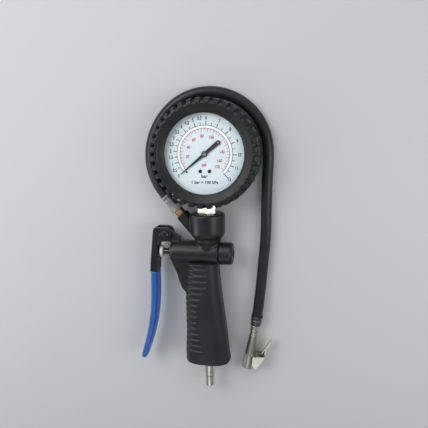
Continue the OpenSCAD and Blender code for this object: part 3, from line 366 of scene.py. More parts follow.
# Zinc-aluminium, die cast and coated black: satin with a slight orange peel
BODY_COAT = Finish("aluminium_cast_black_coat", "#17181B", "#1F2124", 0.36, grain=1.1,
                   depth=0.012, mottle=16, gloss_swing=0.05, coat=0.15, coat_roughness=0.3)
LEVER_COAT = Finish("aluminium_cast_black_lever", "#18191C", "#202226", 0.34, grain=1.0,
                    depth=0.01, mottle=12, gloss_swing=0.05, coat=0.15, coat_roughness=0.3)
# Thermoplastic rubber, injection moulded over the handle: soft satin black
GRIP_RUBBER = Finish("thermoplastic_rubber_moulded", "#191B1E", "#22252A", 0.44, grain=0.6,
                     depth=0.01, mottle=18, gloss_swing=0.05, sheen=0.05)
# Vinyl plastisol, hot dipped: royal blue, half glossy, slightly wavy
SLEEVE_VINYL = Finish("vinyl_hot_dipped_blue", "#1F5FB8", "#2A6CC6", 0.34, ior=1.53, grain=2.6,
                      depth=0.03, mottle=12, gloss_swing=0.04, coat=0.25, coat_roughness=0.2)
# Nitrile rubber, moulded rings and washers: black and dull
SEAL_RUBBER = Finish("nitrile_rubber_seals", "#141415", "#1A1A1B", 0.5, grain=0.3, depth=0.004)
# Rubber hose, extruded and cured in a wrap: smooth satin black
HOSE_RUBBER = Finish("rubber_hose_extruded", "#17181A", "#1F2123", 0.4, ior=1.52, grain=1.0,
                     depth=0.012, mottle=20, gloss_swing=0.06, sheen=0.04)
# Bronze powder, sintered: coarse brown grains
FILTER_BRONZE = Finish("bronze_sintered", "#9A7443", "#7F5D33", 0.55, metallic=1.0, grain=0.4,
                       depth=0.08, mottle=1.0)
# Acetal, turned: creamy white, waxy
BUTTON_ACETAL = Finish("acetal_turned", "#F3F2EC", "#ECEAE2", 0.35, grain=0.5, depth=0.004,
                       mottle=5)


# ---- Mesh helpers ----------------------------------------------------------------------

# Points of a new mesh that lie nearer than this, in metres, become one
WELD = 1e-7
# A turned profile stops this far from its axis, so that its end rings stay rings
AXIS_GAP = 0.01


def polar(radius: float, degrees: float) -> Flat:
    """Return the point at a radius and an angle round the origin."""
    a = math.radians(degrees)
    return radius * math.cos(a), radius * math.sin(a)


def spow(value: float, power: float) -> float:
    """Return a signed power, for rounded rectangular sections."""
    return math.copysign(abs(value) ** power, value)


def lookup(value: float, table: list[Flat]) -> float:
    """Read a table of (key, result) pairs by straight-line interpolation.

    Args:
        value: The key to look up.
        table: Pairs in rising order of key.

    Returns:
        The result, held at the ends of the table.
    """
    if value <= table[0][0]:
        return table[0][1]
    for (k0, v0), (k1, v1) in zip(table, table[1:]):
        if value <= k1:
            return v0 + (v1 - v0) * (value - k0) / (k1 - k0)
    return table[-1][1]


def smooth_lookup(value: float, table: list[Flat], reach: float) -> float:
    """Read a table as lookup does, with its corners eased.

    Args:
        value: The key to look up.
        table: Pairs in rising order of key.
        reach: How far on each side the result is averaged.

    Returns:
        The eased result.
    """
    steps = 4
    results = [lookup(value + reach * i / steps, table) for i in range(-steps, steps + 1)]
    return sum(results) / len(results)


def loft(rings: list[list[Point]], round_trip: bool = False) -> MeshData:
    """Join rings of equal length into a skin.

    Args:
        rings: The rings, each a closed loop of points.
        round_trip: True to join the last ring to the first, or False to cap both ends.

    Returns:
        Points and faces.
    """
    count = len(rings[0])
    points = [p for ring in rings for p in ring]
    faces: list[tuple[int, ...]] = []
    spans = len(rings) if round_trip else len(rings) - 1
    for i in range(spans):
        a, b = i * count, (i + 1) % len(rings) * count
        for j in range(count):
            k = (j + 1) % count
            faces.append((a + j, a + k, b + k, b + j))
    if not round_trip:
        faces.append(tuple(reversed(range(count))))
        faces.append(tuple((len(rings) - 1) * count + j for j in range(count)))
    return points, faces


def lathe(profile: tuple[Flat, ...], foot: Point, around: int = 32) -> MeshData:
    """Turn a profile of (radius, height) points round the Z axis through foot.

    Args:
        profile: Points from the axis back to the axis.
        foot: Where the profile's origin stands.
        around: The number of steps round.

    Returns:
        Points and faces.
    """
    rings = []
    for radius, height in profile:
        spots = [polar(max(radius, AXIS_GAP), 360 * i / around) for i in range(around)]
        rings.append([(foot[0] + x, foot[1] + y, foot[2] + height) for x, y in spots])
    return loft(rings)


def make_mesh(name: str, data: MeshData) -> bpy.types.Mesh:
    """Make a Blender mesh from points in millimetres, with its faces turned outwards.

    Args:
        name: The mesh's name.
        data: Points and faces.

    Returns:
        The mesh, in metres.
    """
    mesh = bpy.data.meshes.new(name)
    mesh.from_pydata([(x * MM, y * MM, z * MM) for x, y, z in data[0]], [], data[1])
    shape = bmesh.new()
    shape.from_mesh(mesh)
    bmesh.ops.remove_doubles(shape, verts=shape.verts, dist=WELD)
    bmesh.ops.recalc_face_normals(shape, faces=shape.faces)
    shape.to_mesh(mesh)
    shape.free()
    return mesh


def link(name: str, data: bpy.types.ID) -> bpy.types.Object:
    """Make an object of a mesh, curve, lamp or camera and put it into the scene.

    Args:
        name: The object's name.
        data: What the object shows.

    Returns:
        The new object.
    """
    made = bpy.data.objects.new(name, data)
    bpy.context.scene.collection.objects.link(made)
    return made


def finish_mesh(mesh: bpy.types.Mesh, finish: Finish, sharp: float) -> None:
    """Give a mesh one finish, and shade it smooth.

    Args:
        mesh: The mesh.
        finish: What it is made of.
        sharp: Edges that bend by more than this angle stay sharp.
    """
    mesh.materials.clear()
    mesh.materials.append(finish.material())
    for face in mesh.polygons:
        face.use_smooth = True
        face.material_index = 0
    mesh.set_sharp_from_angle(angle=math.radians(sharp))


def place(name: str, mesh: bpy.types.Mesh, finish: Finish, body: Body,
          replaces: tuple[str, ...] = (), sharp: float = 40.0) -> bpy.types.Object:
    """Put a mesh into the scene as a named piece of the tool.

    Args:
        name: The piece's name.
        mesh: Its mesh, in metres.
        finish: What it is made of.
        body: The body that it rides on.
        replaces: The frame's nodes that it stands for.
        sharp: Edges that bend by more than this angle stay sharp.

    Returns:
        The new object.
    """
    piece = link(name, mesh)
    finish_mesh(mesh, finish, sharp)
    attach(piece, body.value)
    if replaces:
        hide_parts(*replaces)
    log.info("piece %s: %d faces on %s", name, len(mesh.polygons), body.value)
    return piece


def settle(piece: bpy.types.Object) -> None:
    """Apply all modifiers of a piece to its mesh.

    Args:
        piece: The object to settle.
    """
    view = bpy.context.evaluated_depsgraph_get()
    mesh = bpy.data.meshes.new_from_object(piece.evaluated_get(view))
    piece.modifiers.clear()
    piece.data = mesh


def dress(finish: Finish, *nodes: str) -> None:
    """Give the frame's own nodes a finish.

    Args:
        finish: The finish to give.
        *nodes: Names of nodes whose shape stays as it is.
    """
    for name in nodes:
        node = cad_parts[name]
        if not node.material_slots:
            node.data.materials.append(finish.material())
        for holder in node.material_slots:
            holder.material = finish.material()
        log.info("node %s: %s", name, finish.name)


def cast_copy(node: str, voxel: float, rounds: int) -> bpy.types.Mesh:
    """Copy a node's mesh and soften its edges as a casting's are.

    Args:
        node: The frame's node to copy.
        voxel: Size of the new mesh's faces in millimetres.
        rounds: How often it is smoothed.

    Returns:
        The softened copy.
    """
    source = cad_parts[node]
    mesh = source.data.copy()
    mesh.transform(source.matrix_world)
    work = link(node + "_work", mesh)
    remesh = work.modifiers.new("remesh", "REMESH")
    remesh.mode = "VOXEL"
    remesh.voxel_size = voxel * MM
    soften = work.modifiers.new("soften", "SMOOTH")
    soften.factor = 0.5
    soften.iterations = rounds
    settle(work)
    result = work.data
    bpy.data.objects.remove(work)
    return result


@dataclass
class CoilSpring:
    """A wire spring, coiled round a line, which in the tool shortens as a joint moves; here it is
    wound once at full length.

    It takes the place of a node of the frame. Of its length, keep is the share that is left at
    the joint's limit, and one of its ends stays where it is; joint, keep and far_end_stays are
    not used.
    """

    name: str
    node: str
    start: Point
    axis: Point
    radius: float
    length: float
    wire: float
    turns: int
    joint: str
    keep: float
    far_end_stays: bool
    steps: int = 28
    around: int = 12

    def build(self) -> None:
        """Wind the wire from start along the axis."""
        along = Vector(self.axis).normalized()
        across = along.cross(Vector((0, 0, 1))).normalized()
        rise = across.cross(along)
        count = self.turns * self.steps
        rings = []
        for i in range(count + 1):
            x, y = polar(1, 360 * i / self.steps)
            out = across * x + rise * y
            spot = Vector(self.start) + out * self.radius + along * (self.length * i / count)
            ring = []
            for j in range(self.around):
                u, v = polar(self.wire / 2, 360 * j / self.around)
                ring.append(tuple(spot + out * u + along * v))
            rings.append(ring)
        piece = place(self.name, make_mesh(self.name, loft(rings)), SPRING_STEEL, Body.TOOL,
                      (self.node,))
        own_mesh(piece)


# ---- Hose ------------------------------------------------------------------------------


@dataclass
class HoseLine:
    """The hose, its bush, nut and ferrule at the arm, and its route round the gauge."""

    radius: float = 5.25
    start: Flat = (-40.14, -41.9)
    # How far the hose runs straight out of its ferrule
    lead: float = 4.7
    # The loop round the boot: its radius, first angle, step and number of points, and the
    # heights of the first ones, of which the last holds for the rest
    loop: float = 57.2
    loop_from: float = 208.0
    loop_step: float = 13.0
    loop_points: int = 17
    heights: tuple[float, ...] = (16.2, 14.4, 12, 9.4, 7.2, 5.8, 5.3)
    # The run beside the handle: steps in from the loop's side, distances down, and heights
    run: tuple[Point, ...] = (
        (0.2, 13, 5.3), (0.8, 27, 5.3), (1.2, 42, 5.3), (1.4, 58, 5.3), (1.6, 75, 5.3),
        (2.5, 92, 5.3), (3.9, 108, 5.3), (5.2, 124, 5.5), (6.7, 140, 6.4), (7.9, 152, 7.3),
        (9.05, 161, 7.6), (9.7, 165, 7.6))
    # What hangs on the hose's end
    chuck_nodes: tuple[str, ...] = (
        "chuck_ferrule", "chuck_collar", "chuck_body", "chuck_seal", "valve_depressor",
        "clip_rivets", "clip_lever")
    route: list[Point] = field(init=False)

    def __post_init__(self) -> None:
        """Lay the route: out of the arm, round the boot and down beside the handle."""
        x, y = self.start
        self.route = [(x, y, MID_HEIGHT),
                      (x + self.lead * ARM_AXIS[0], y + self.lead * ARM_AXIS[1], MID_HEIGHT)]
        for i in range(self.loop_points):
            height = self.heights[min(i, len(self.heights) - 1)]
            self.route.append((*polar(self.loop, self.loop_from - self.loop_step * i), height))
        self.route += [(self.loop - inward, -down, height) for inward, down, height in self.run]

    def length(self) -> float:
        """Return the route's length in metres."""
        return sum(math.dist(a, b) for a, b in zip(self.route, self.route[1:])) * MM

    def curve(self) -> bpy.types.Curve:
        """Draw a round curve through the route.

        Returns:
            The curve, in metres.
        """
        curve = bpy.data.curves.new("air_hose", "CURVE")
        curve.dimensions = "3D"
        curve.bevel_depth = self.radius * MM
        curve.bevel_resolution = 12
        curve.resolution_u = 10
        curve.use_fill_caps = True
        line = curve.splines.new("BEZIER")
        line.bezier_points.add(len(self.route) - 1)
        for knot, spot in zip(line.bezier_points, self.route):
            knot.co = Vector(spot) * MM
            knot.handle_left_type = knot.handle_right_type = "AUTO"
        curve.materials.append(HOSE_RUBBER.material())
        return curve

    def build(self) -> None:
        """Lay the hose along its route and dress its fittings at the arm."""
        hose = link("air_hose", self.curve())
        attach(hose, Body.TOOL.value)
        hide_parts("hose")
        self.length()
        dress(BUSH_BRASS, "hose_bush")
        dress(ARM_NICKEL, "hose_nut")
        dress(ARM_FERRULE, "hose_ferrule")
        log.info("piece air_hose: %.3f m long", self.length())


# ---- Gauge -----------------------------------------------------------------------------


@dataclass
class RubberBoot:
    """The tyre-shaped boot round the gauge, with a row of tread blocks on each shoulder."""

    radius: float = 51.2
    height: float = 35.0
    bore: float = 42.95
    floor: float = 3.0
    window: float = 37.2
    lens_level: float = 29.8
    blocks: int = 36
    # Radii of the front lip's crest, of the flat back, and of a ring and the hole in it
    crest: float = 43.7
    flat: float = 43.2
    middle: float = 30.0
    hole: float = 2.0
    # Angles within one pitch and whether the front and back rows are cut there
    stations: tuple[tuple[float, bool, bool], ...] = (
        (-2.2, True, False), (0.0, True, False), (2.2, True, False), (2.5, False, False),
        (2.85, False, True), (5.0, False, True), (7.15, False, True), (7.5, False, False))
    # Edges that bend by more than this angle stay sharp
    sharp: float = 50.0
    # The slot that clears the stem's hexagon, and the round hole for the stem behind it
    slot_middle: Point = (0.0, -52.4, 23.25)
    slot_size: Point = (19.4, 10.0, 35.5)
    stem_middle: Point = (0.0, -46.0, MID_HEIGHT)
    stem_radius: float = 7.4
    stem_length: float = 8.0

    def shoulder(self, cut: bool) -> list[Flat]:
        """Draw the front shoulder from the dial outwards to mid height.

        Args:
            cut: True between two tread blocks, False across a block.

        Returns:
            Points of radius and height.
        """
        r, h = self.radius, self.height
        block = [(r - 7.0, h - 0.45), (r - 6.6, h - 0.3), (r - 5.2, h), (r - 3.9, h - 0.15),
                 (r - 2.6, h - 0.6), (r - 1.3, h - 1.6), (r - 0.5, h - 3.2), (r, h - 5.5),
                 (r, h - 8.0), (r, h - 11.5), (r, h - 14.2), (r, h - 14.9), (r, h - 15.6)]
        gap = [(r - 7.0, h - 0.45), (r - 6.6, h - 0.3), (r - 5.6, h - 0.12),
               (r - 5.3, h - 0.5), (r - 5.1, h - 1.6), (r - 4.85, h - 2.7), (r - 4.3, h - 4.0),
               (r - 3.6, h - 5.4), (r - 3.3, h - 7.5), (r - 3.3, h - 11.5),
               (r - 3.1, h - 14.2), (r - 0.7, h - 14.9), (r, h - 15.6)]
        return gap if cut else block

    def section(self, front_cut: bool, back_cut: bool) -> list[Flat]:
        """Draw the boot's whole section.

        Args:
            front_cut: Whether the front row of blocks is cut here.
            back_cut: Whether the back row is cut here.

        Returns:
            Points of radius and height, once round the wall.
        """
        h, lens = self.height, self.lens_level
        dial_side = [(self.window, lens + 0.15), (self.window, lens + 0.7),
                     (self.window + 0.5, lens + 1.4), (self.bore - 3, h - 2.4),
                     (self.bore - 0.4, h - 1.4), (self.crest, h - 0.75)]
        back = [(r, h - z) for r, z in reversed(self.shoulder(back_cut))]
        under = [(self.flat + 0.3, 0.4), (self.flat, 0.0), (self.middle, 0.0), (self.hole, 0.0)]
        inside = [(self.hole, self.floor), (self.middle, self.floor),
                  (self.bore - 0.3, self.floor), (self.bore, self.floor + 0.3),
                  (self.bore, MID_HEIGHT), (self.bore, lens - 0.2), (self.bore - 0.3, lens + 0.1)]
        return (dial_side + self.shoulder(front_cut) + [(self.radius, h / 2)] + back + under
                + inside)

    def build(self) -> None:
        """Sweep the section round the gauge and cut the way out for the stem."""
        rings = []
        for k in range(self.blocks):
            for turn, front_cut, back_cut in self.stations:
                a = k * 360 / self.blocks + turn
                rings.append([(*polar(r, a), z) for r, z in self.section(front_cut, back_cut)])
        mesh = make_mesh("rubber_boot", loft(rings, round_trip=True))
        boot = place("rubber_boot", mesh, BOOT_RUBBER, Body.TOOL, ("boot",), self.sharp)
        fine = boot.modifiers.new("fine", "SUBSURF")
        fine.levels = fine.render_levels = 2
        settle(boot)
        cutter = self.stem_cutter()
        cut = boot.modifiers.new("cut", "BOOLEAN")
        cut.operation = "DIFFERENCE"
        cut.solver = "EXACT"
        cut.object = cutter
        settle(boot)
        bpy.data.objects.remove(cutter)
        finish_mesh(boot.data, BOOT_RUBBER, self.sharp)

    def stem_cutter(self) -> bpy.types.Object:
        """Make the solid that clears the stem's hexagon and lets the stem out.

        Returns:
            The cutter.
        """
        shape = bmesh.new()
        slot = Matrix.Translation(Vector(self.slot_middle) * MM) @ Matrix.Diagonal(
            (Vector(self.slot_size) * MM).to_4d())
        bmesh.ops.create_cube(shape, size=1, matrix=slot)
        stem = Matrix.Translation(Vector(self.stem_middle) * MM) @ Matrix.Rotation(
            math.radians(90), 4, "X")
        bmesh.ops.create_cone(shape, cap_ends=True, segments=64, radius1=self.stem_radius * MM,
                              radius2=self.stem_radius * MM, depth=self.stem_length * MM,
                              matrix=stem)
        mesh = bpy.data.meshes.new("stem_cutter")
        shape.to_mesh(mesh)
        shape.free()
        return link("stem_cutter", mesh)


@dataclass
class DialFace:
    """The printed dial: a black bar scale, a red psi scale inside it, and unit marks."""

    level: float = 25.4
    # The angle of the zero mark, and the angles from one unit to the next
    zero: float = 219.0
    per_bar: float = 22.05
    per_psi: float = 1.5203
    bar_end: int = 12
    psi_end: int = 174
    # Radius and width of the white band between the scales and of the two scales' rings
    band: Flat = (24.9, 2.1)
    bar_ring: Flat = (26.2, 0.45)
    psi_ring: Flat = (23.4, 0.55)
    # Outer radii of the whole and half bar ticks, both radii of the last one, and where the
    # others start
    whole_tick: float = 30.0
    half_tick: float = 28.9
    last_tick: Flat = (24.6, 30.9)
    bar_tick_from: float = 26.1
    # Widths of the bar ticks: whole and half
    bar_tick_widths: Flat = (0.7, 0.6)
    # Radii at which the psi ticks start, each 10 and each 5, and their width
    psi_ticks: Flat = (20.2, 21.6)
    psi_tick_width: float = 0.45
    # How far the band runs on before the zero mark and after the last one
    overrun: Flat = (2.0, 1.0)
    # Radii of the numbers, of which the last psi one stands nearer the middle
    bar_numbers: float = 32.6
    psi_numbers: float = 16.4
    last_psi_number: float = 15.2
    # Height of the numbers and their width against the font's own
    bar_type: Flat = (3.2, 0.76)
    psi_type: Flat = (3.0, 0.82)
    # The other words: text, place, height and width against the font's own
    black_words: tuple[tuple[str, Flat, float, float], ...] = (
        ("bar", (-0.7, -20.7), 3.2, 1.0), ("1 bar = 100 kPa", (-0.5, -26.4), 2.7, 1.07))
    red_words: tuple[tuple[str, Flat, float, float], ...] = (
        ("170", (11.5, -11.9), 3.0, 0.82), ("psi", (-0.6, -9.9), 3.1, 0.95))
    # The font's capitals are this share of its size, and its strokes thicken by a share too
    capital: float = 0.72
    weight: float = 0.045
    # An arc has a step each so many degrees
    arc_step: float = 3.0
    # How far the band, and the ink over it, stand above the dial
    band_rise: float = 0.03
    ink_rise: float = 0.06

    def stroke(self, data: MeshData, angle: float, reach: Flat, width: float) -> None:
        """Add a straight tick.

        Args:
            data: The layer to add to.
            angle: Where the tick stands.
            reach: Its inner and outer radius.
            width: Its width.
        """
        c, s = polar(1, angle)
        base = len(data[0])
        for r, side in ((reach[0], -1), (reach[0], 1), (reach[1], 1), (reach[1], -1)):
            w = side * width / 2
            data[0].append((r * c - w * s, r * s + w * c, 0.0))
        data[1].append((base, base + 3, base + 2, base + 1))

    def arc(self, data: MeshData, ring: Flat, start: float, end: float) -> None:
        """Add a band along a circle.

        Args:
            data: The layer to add to.
            ring: The circle's radius and the band's width.
            start: The angle at which it starts.
            end: The angle at which it ends.
        """
        steps = int(abs(end - start) / self.arc_step) + 1
        base = len(data[0])
        for i in range(steps + 1):
            for side in (-1, 1):
                x, y = polar(ring[0] + side * ring[1] / 2, start + (end - start) * i / steps)
                data[0].append((x, y, 0.0))
        for i in range(steps):
            b = base + 2 * i
            data[1].append((b, b + 1, b + 3, b + 2))

    def letters(self, data: MeshData, words: str, middle: Flat, height: float,
                squeeze: float) -> None:
        """Add words.

        Args:
            data: The layer to add to.
            words: What they say.
            middle: The point that they are centred on.
            height: The height of a capital.
            squeeze: Their width against the font's own.
        """
        text = bpy.data.curves.new("letters", "FONT")
        text.body = words
        text.size = height / self.capital
        text.align_x = "CENTER"
        text.align_y = "CENTER"
        text.resolution_u = 3
        text.offset = self.weight * height
        holder = link("letters", text)
        view = bpy.context.evaluated_depsgraph_get()
        shape = holder.evaluated_get(view).to_mesh()
        base = len(data[0])
        data[0].extend((middle[0] + v.co.x * squeeze, middle[1] + v.co.y, 0.0)
                       for v in shape.vertices)
        data[1].extend(tuple(base + i for i in face.vertices) for face in shape.polygons)
        holder.evaluated_get(view).to_mesh_clear()
        bpy.data.objects.remove(holder)
        bpy.data.curves.remove(text)

    def bar_scale(self, data: MeshData) -> None:
        """Add the outer scale: a ring, a tick each half bar, and numbers up to each half.

        Args:
            data: The layer to add to.
        """
        last = 2 * self.bar_end
        self.arc(data, self.bar_ring, self.zero, self.zero - self.bar_end * self.per_bar)
        for half in range(last + 1):
            whole = half % 2 == 0
            reach = (self.bar_tick_from, self.whole_tick if whole else self.half_tick)
            self.stroke(data, self.zero - half / 2 * self.per_bar,
                        self.last_tick if half == last else reach,
                        self.bar_tick_widths[0 if whole else 1])
        for value in [0.5 * i for i in range(13)] + list(range(7, self.bar_end + 1)):
            spot = polar(self.bar_numbers, self.zero - value * self.per_bar)
            self.letters(data, f"{value:g}", spot, *self.bar_type)

    def psi_scale(self, data: MeshData) -> None:
        """Add the inner scale: a ring, a tick each 5 psi, and a number each 20.

        Args:
            data: The layer to add to.
        """
        outer = self.psi_ring[0]
        self.arc(data, self.psi_ring, self.zero, self.zero - self.psi_end * self.per_psi)
        for psi in range(0, self.psi_end + 1, 5):
            self.stroke(data, self.zero - psi * self.per_psi,
                        (self.psi_ticks[0 if psi % 10 == 0 else 1], outer),
                        self.psi_tick_width)
        for psi in range(20, 161, 20):
            radius = self.last_psi_number if psi == 160 else self.psi_numbers
            spot = polar(radius, self.zero - psi * self.per_psi)
            self.letters(data, str(psi), spot, *self.psi_type)

    def print_layer(self, name: str, data: MeshData, finish: Finish, rise: float) -> None:
        """Place one ink layer a little above the dial's face.

        Args:
            name: The layer's name.
            data: Its points and faces, all at height 0.
            finish: Its ink.
            rise: How far it stands above the dial.
        """
        lifted = [(x, y, self.level + rise) for x, y, _ in data[0]]
        place(name, make_mesh(name, (lifted, data[1])), finish, Body.TOOL)

    def build(self) -> None:
        """Print the band, the scales and the words."""
        band: MeshData = ([], [])
        black: MeshData = ([], [])
        red: MeshData = ([], [])
        self.arc(band, self.band, self.zero + self.overrun[0],
                 self.zero - self.bar_end * self.per_bar - self.overrun[1])
        self.bar_scale(black)
        self.psi_scale(red)
        for layer, words in ((red, self.red_words), (black, self.black_words)):
            for text in words:
                self.letters(layer, *text)
        self.print_layer("dial_band_print", band, INK_WHITE, self.band_rise)
        self.print_layer("dial_bar_print", black, INK_BLACK, self.ink_rise)
        self.print_layer("dial_psi_print", red, INK_RED, self.ink_rise)
        dress(DIAL_ENAMEL, "dial_plate")


@dataclass
class GaugeHead:
    """The gauge in its boot: case, bezel, lens, dial and movement."""

    boot: RubberBoot = field(default_factory=RubberBoot)
    dial: DialFace = field(default_factory=DialFace)
    # The pointer's turned boss and the pin that stops the pointer at its rest
    boss: tuple[Flat, ...] = ((0.0, 0.0), (1.75, 0.0), (1.75, 0.22), (1.6, 0.35), (1.2, 0.35),
                              (1.05, 0.2), (0.0, 0.2))
    pin: tuple[Flat, ...] = ((0.0, 0.0), (0.8, 0.0), (0.8, 1.5), (0.65, 1.7), (0.0, 1.75))
    pin_angle: float = 223.8
    pin_radius: float = 24.2

    def build(self) -> None:
        """Make the boot and the dial's print, dress the rest, and add the boss and the pin."""
        self.boot.build()
        self.dial.build()
        dress(CASE_ENAMEL, "gauge_case", "bezel_ring")
        dress(LENS_ACRYLIC, "lens")
        dress(SEAL_RUBBER, "lens_gasket")
        dress(POINTER_PAINT, "pointer")
        dress(BLACKED_STEEL, "dial_screws")
        dress(ZINC_STEEL, "case_screws", "movement_screws", "pointer_arbor",
              "sector_shaft", "link")
        dress(SPRING_STEEL, "hairspring")
        dress(MOVEMENT_BRASS, "dial_standoffs", "sector_gear", "movement_back_plate",
              "movement_front_plate", "movement_pillars", "tube_tip", "bourdon_tube")
        dress(GAUGE_NICKEL, "gauge_socket", "stem_locknut")
        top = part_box("pointer")[1][2] / MM
        place("pointer_boss", make_mesh("pointer_boss", lathe(self.boss, (0.0, 0.0, top))),
              ZINC_STEEL, Body.POINTER)
        foot = (*polar(self.pin_radius, self.pin_angle), self.dial.level)
        place("stop_pin", make_mesh("stop_pin", lathe(self.pin, foot)), BLACKED_STEEL,
              Body.TOOL)


# ---- Body, grip, valve and lever -------------------------------------------------------

# Cast and moulded pieces keep only edges that bend by more than this angle sharp
MOULDED_SHARP = 60.0


@dataclass
class ValveBody:
    """The die-cast body with its valve, end cap and inlet plug."""

    voxel: float = 0.4
    rounds: int = 12
    # The valve's spring: its wire, its turns, and how far the lever shortens it
    wire: float = 0.7
    turns: int = 6
    stroke: float = 4.7

    def spring(self) -> CoilSpring:
        """Fit a coil spring into the box of the frame's own.

        Returns:
            The spring, whose right end stays in the end cap.
        """
        low, high = (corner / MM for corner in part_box("valve_spring"))
        middle = (low + high) / 2
        length = high.x - low.x
        return CoilSpring(
            "valve_coil", "valve_spring", start=(low.x + self.wire / 2, middle.y, middle.z),
            axis=(1.0, 0.0, 0.0), radius=(high.z - low.z - self.wire) / 2,
            length=length - self.wire, wire=self.wire, turns=self.turns, joint="lever_pivot",
            keep=1 - self.stroke / length, far_end_stays=True)

    def build(self) -> None:
        """Soften the casting's edges, wind the spring and dress the valve's parts."""
        mesh = cast_copy("body_casting", self.voxel, self.rounds)
        place("cast_body", mesh, BODY_COAT, Body.TOOL, ("body_casting",),
              MOULDED_SHARP)
        dress(BODY_COAT, "end_cap")
        dress(BLACKED_STEEL, "valve_bush", "plunger")
        dress(SEAL_RUBBER, "plunger_oring", "cap_oring", "valve_seal")
        dress(BUTTON_ACETAL, "plunger_button")
        self.spring().build()
        dress(GAUGE_NICKEL, "inlet_plug")
        dress(FILTER_BRONZE, "inlet_filter")


@dataclass
class Grip:
    """The rubber grip: ribs on its left, a smooth panel on its right.

    Its tables give, at each y, the left and right sides, the panel's left edge, and half the
    thickness.
    """

    top: float = -105.4
    end: float = -209.5
    # The ribs: how high they stand, how far the first is from the top, their pitch and
    # number, and how softly they run out beside the panel
    rib_height: float = 0.9
    first_rib: float = 1.8
    pitch: float = 6.05
    ribs: int = 15
    fade: float = 1.2
    around: int = 132
    step: float = 0.5
    # The power that turns a round section to one with flatter sides
    squareness: float = 0.72
    # How far on each side the tables' corners, and the panel's, are eased
    ease: float = 3.0
    panel_ease: float = 4.0
    left: list[Flat] = field(default_factory=lambda: [
        (-209.5, -23.3), (-199, -23.6), (-178, -22.5), (-140, -22.5), (-119, -21),
        (-105.4, -19)])
    right: list[Flat] = field(default_factory=lambda: [
        (-209.5, 22.2), (-199, 20.4), (-178, 18.3), (-140, 13.4), (-119, 11.4),
        (-105.4, 10.6)])
    panel: list[Flat] = field(default_factory=lambda: [
        (-205, -2), (-191, -2.8), (-182, -6), (-165, -9.8), (-150, -9), (-137, -5),
        (-128, 1.2), (-108, 2.2)])
    half: list[Flat] = field(default_factory=lambda: [
        (-209.5, 17), (-140, 17), (-125, 16.2), (-105.4, 14.8)])
    # One groove: shares of the pitch, and its depth there as a share of the ribs' height
    wave: list[Flat] = field(default_factory=lambda: [
        (0.0, 0.0), (0.06, 0.15), (0.2, 1.0), (0.45, 1.0), (0.59, 0.15), (0.65, 0.0), (1.0, 0.0)])

    def groove(self, y: float) -> float:
        """Return the depth of the groove at y as a share of the ribs' height."""
        k = (self.top - self.first_rib - y) / self.pitch
        return 0.0 if k < 0 or k >= self.ribs else lookup(k - math.floor(k), self.wave)

    def ring(self, y: float, shrink: float = 0.0) -> list[Point]:
        """Draw the grip's section.

        Args:
            y: Where along the handle.
            shrink: How far it is drawn in all round.

        Returns:
            The section's points.
        """
        left = smooth_lookup(y, self.left, self.ease)
        right = smooth_lookup(y, self.right, self.ease)
        centre, a = (left + right) / 2, (right - left) / 2 - shrink
        b = smooth_lookup(y, self.half, self.ease) - shrink
        edge = smooth_lookup(y, self.panel, self.panel_ease) - centre
        points = []
        for i in range(self.around):
            c, s = polar(1, 360 * i / self.around)
            x, z = a * spow(c, self.squareness), -b * spow(s, self.squareness)
            out = Vector((x / a / a, z / b / b)).normalized()
            share = max(0.0, min(1.0, (edge - x) / self.fade))
            cut = self.rib_height * self.groove(y) * share * share * (3 - 2 * share)
            points.append((centre + x - out.x * cut, y, MID_HEIGHT + z - out.y * cut))
        return points

    def build(self) -> None:
        """Sweep the grip's skin from its rounded end to its top."""
        rings = [self.ring(self.end, 2.4), self.ring(self.end, 1.3),
                 self.ring(self.end + 0.15, 0.8), self.ring(self.end + 0.4, 0.4),
                 self.ring(self.end + 0.8, 0.12), self.ring(self.end + 1.3)]
        y = self.end + 2.0
        while y < self.top - 1.2:
            rings.append(self.ring(y))
            y += self.step
        rings += [self.ring(self.top - 0.7), self.ring(self.top - 0.3, 0.2),
                  self.ring(self.top, 0.8), self.ring(self.top, 2.2)]
        mesh = make_mesh("ribbed_grip", loft(rings))
        place("ribbed_grip", mesh, GRIP_RUBBER, Body.TOOL, ("grip",), MOULDED_SHARP)


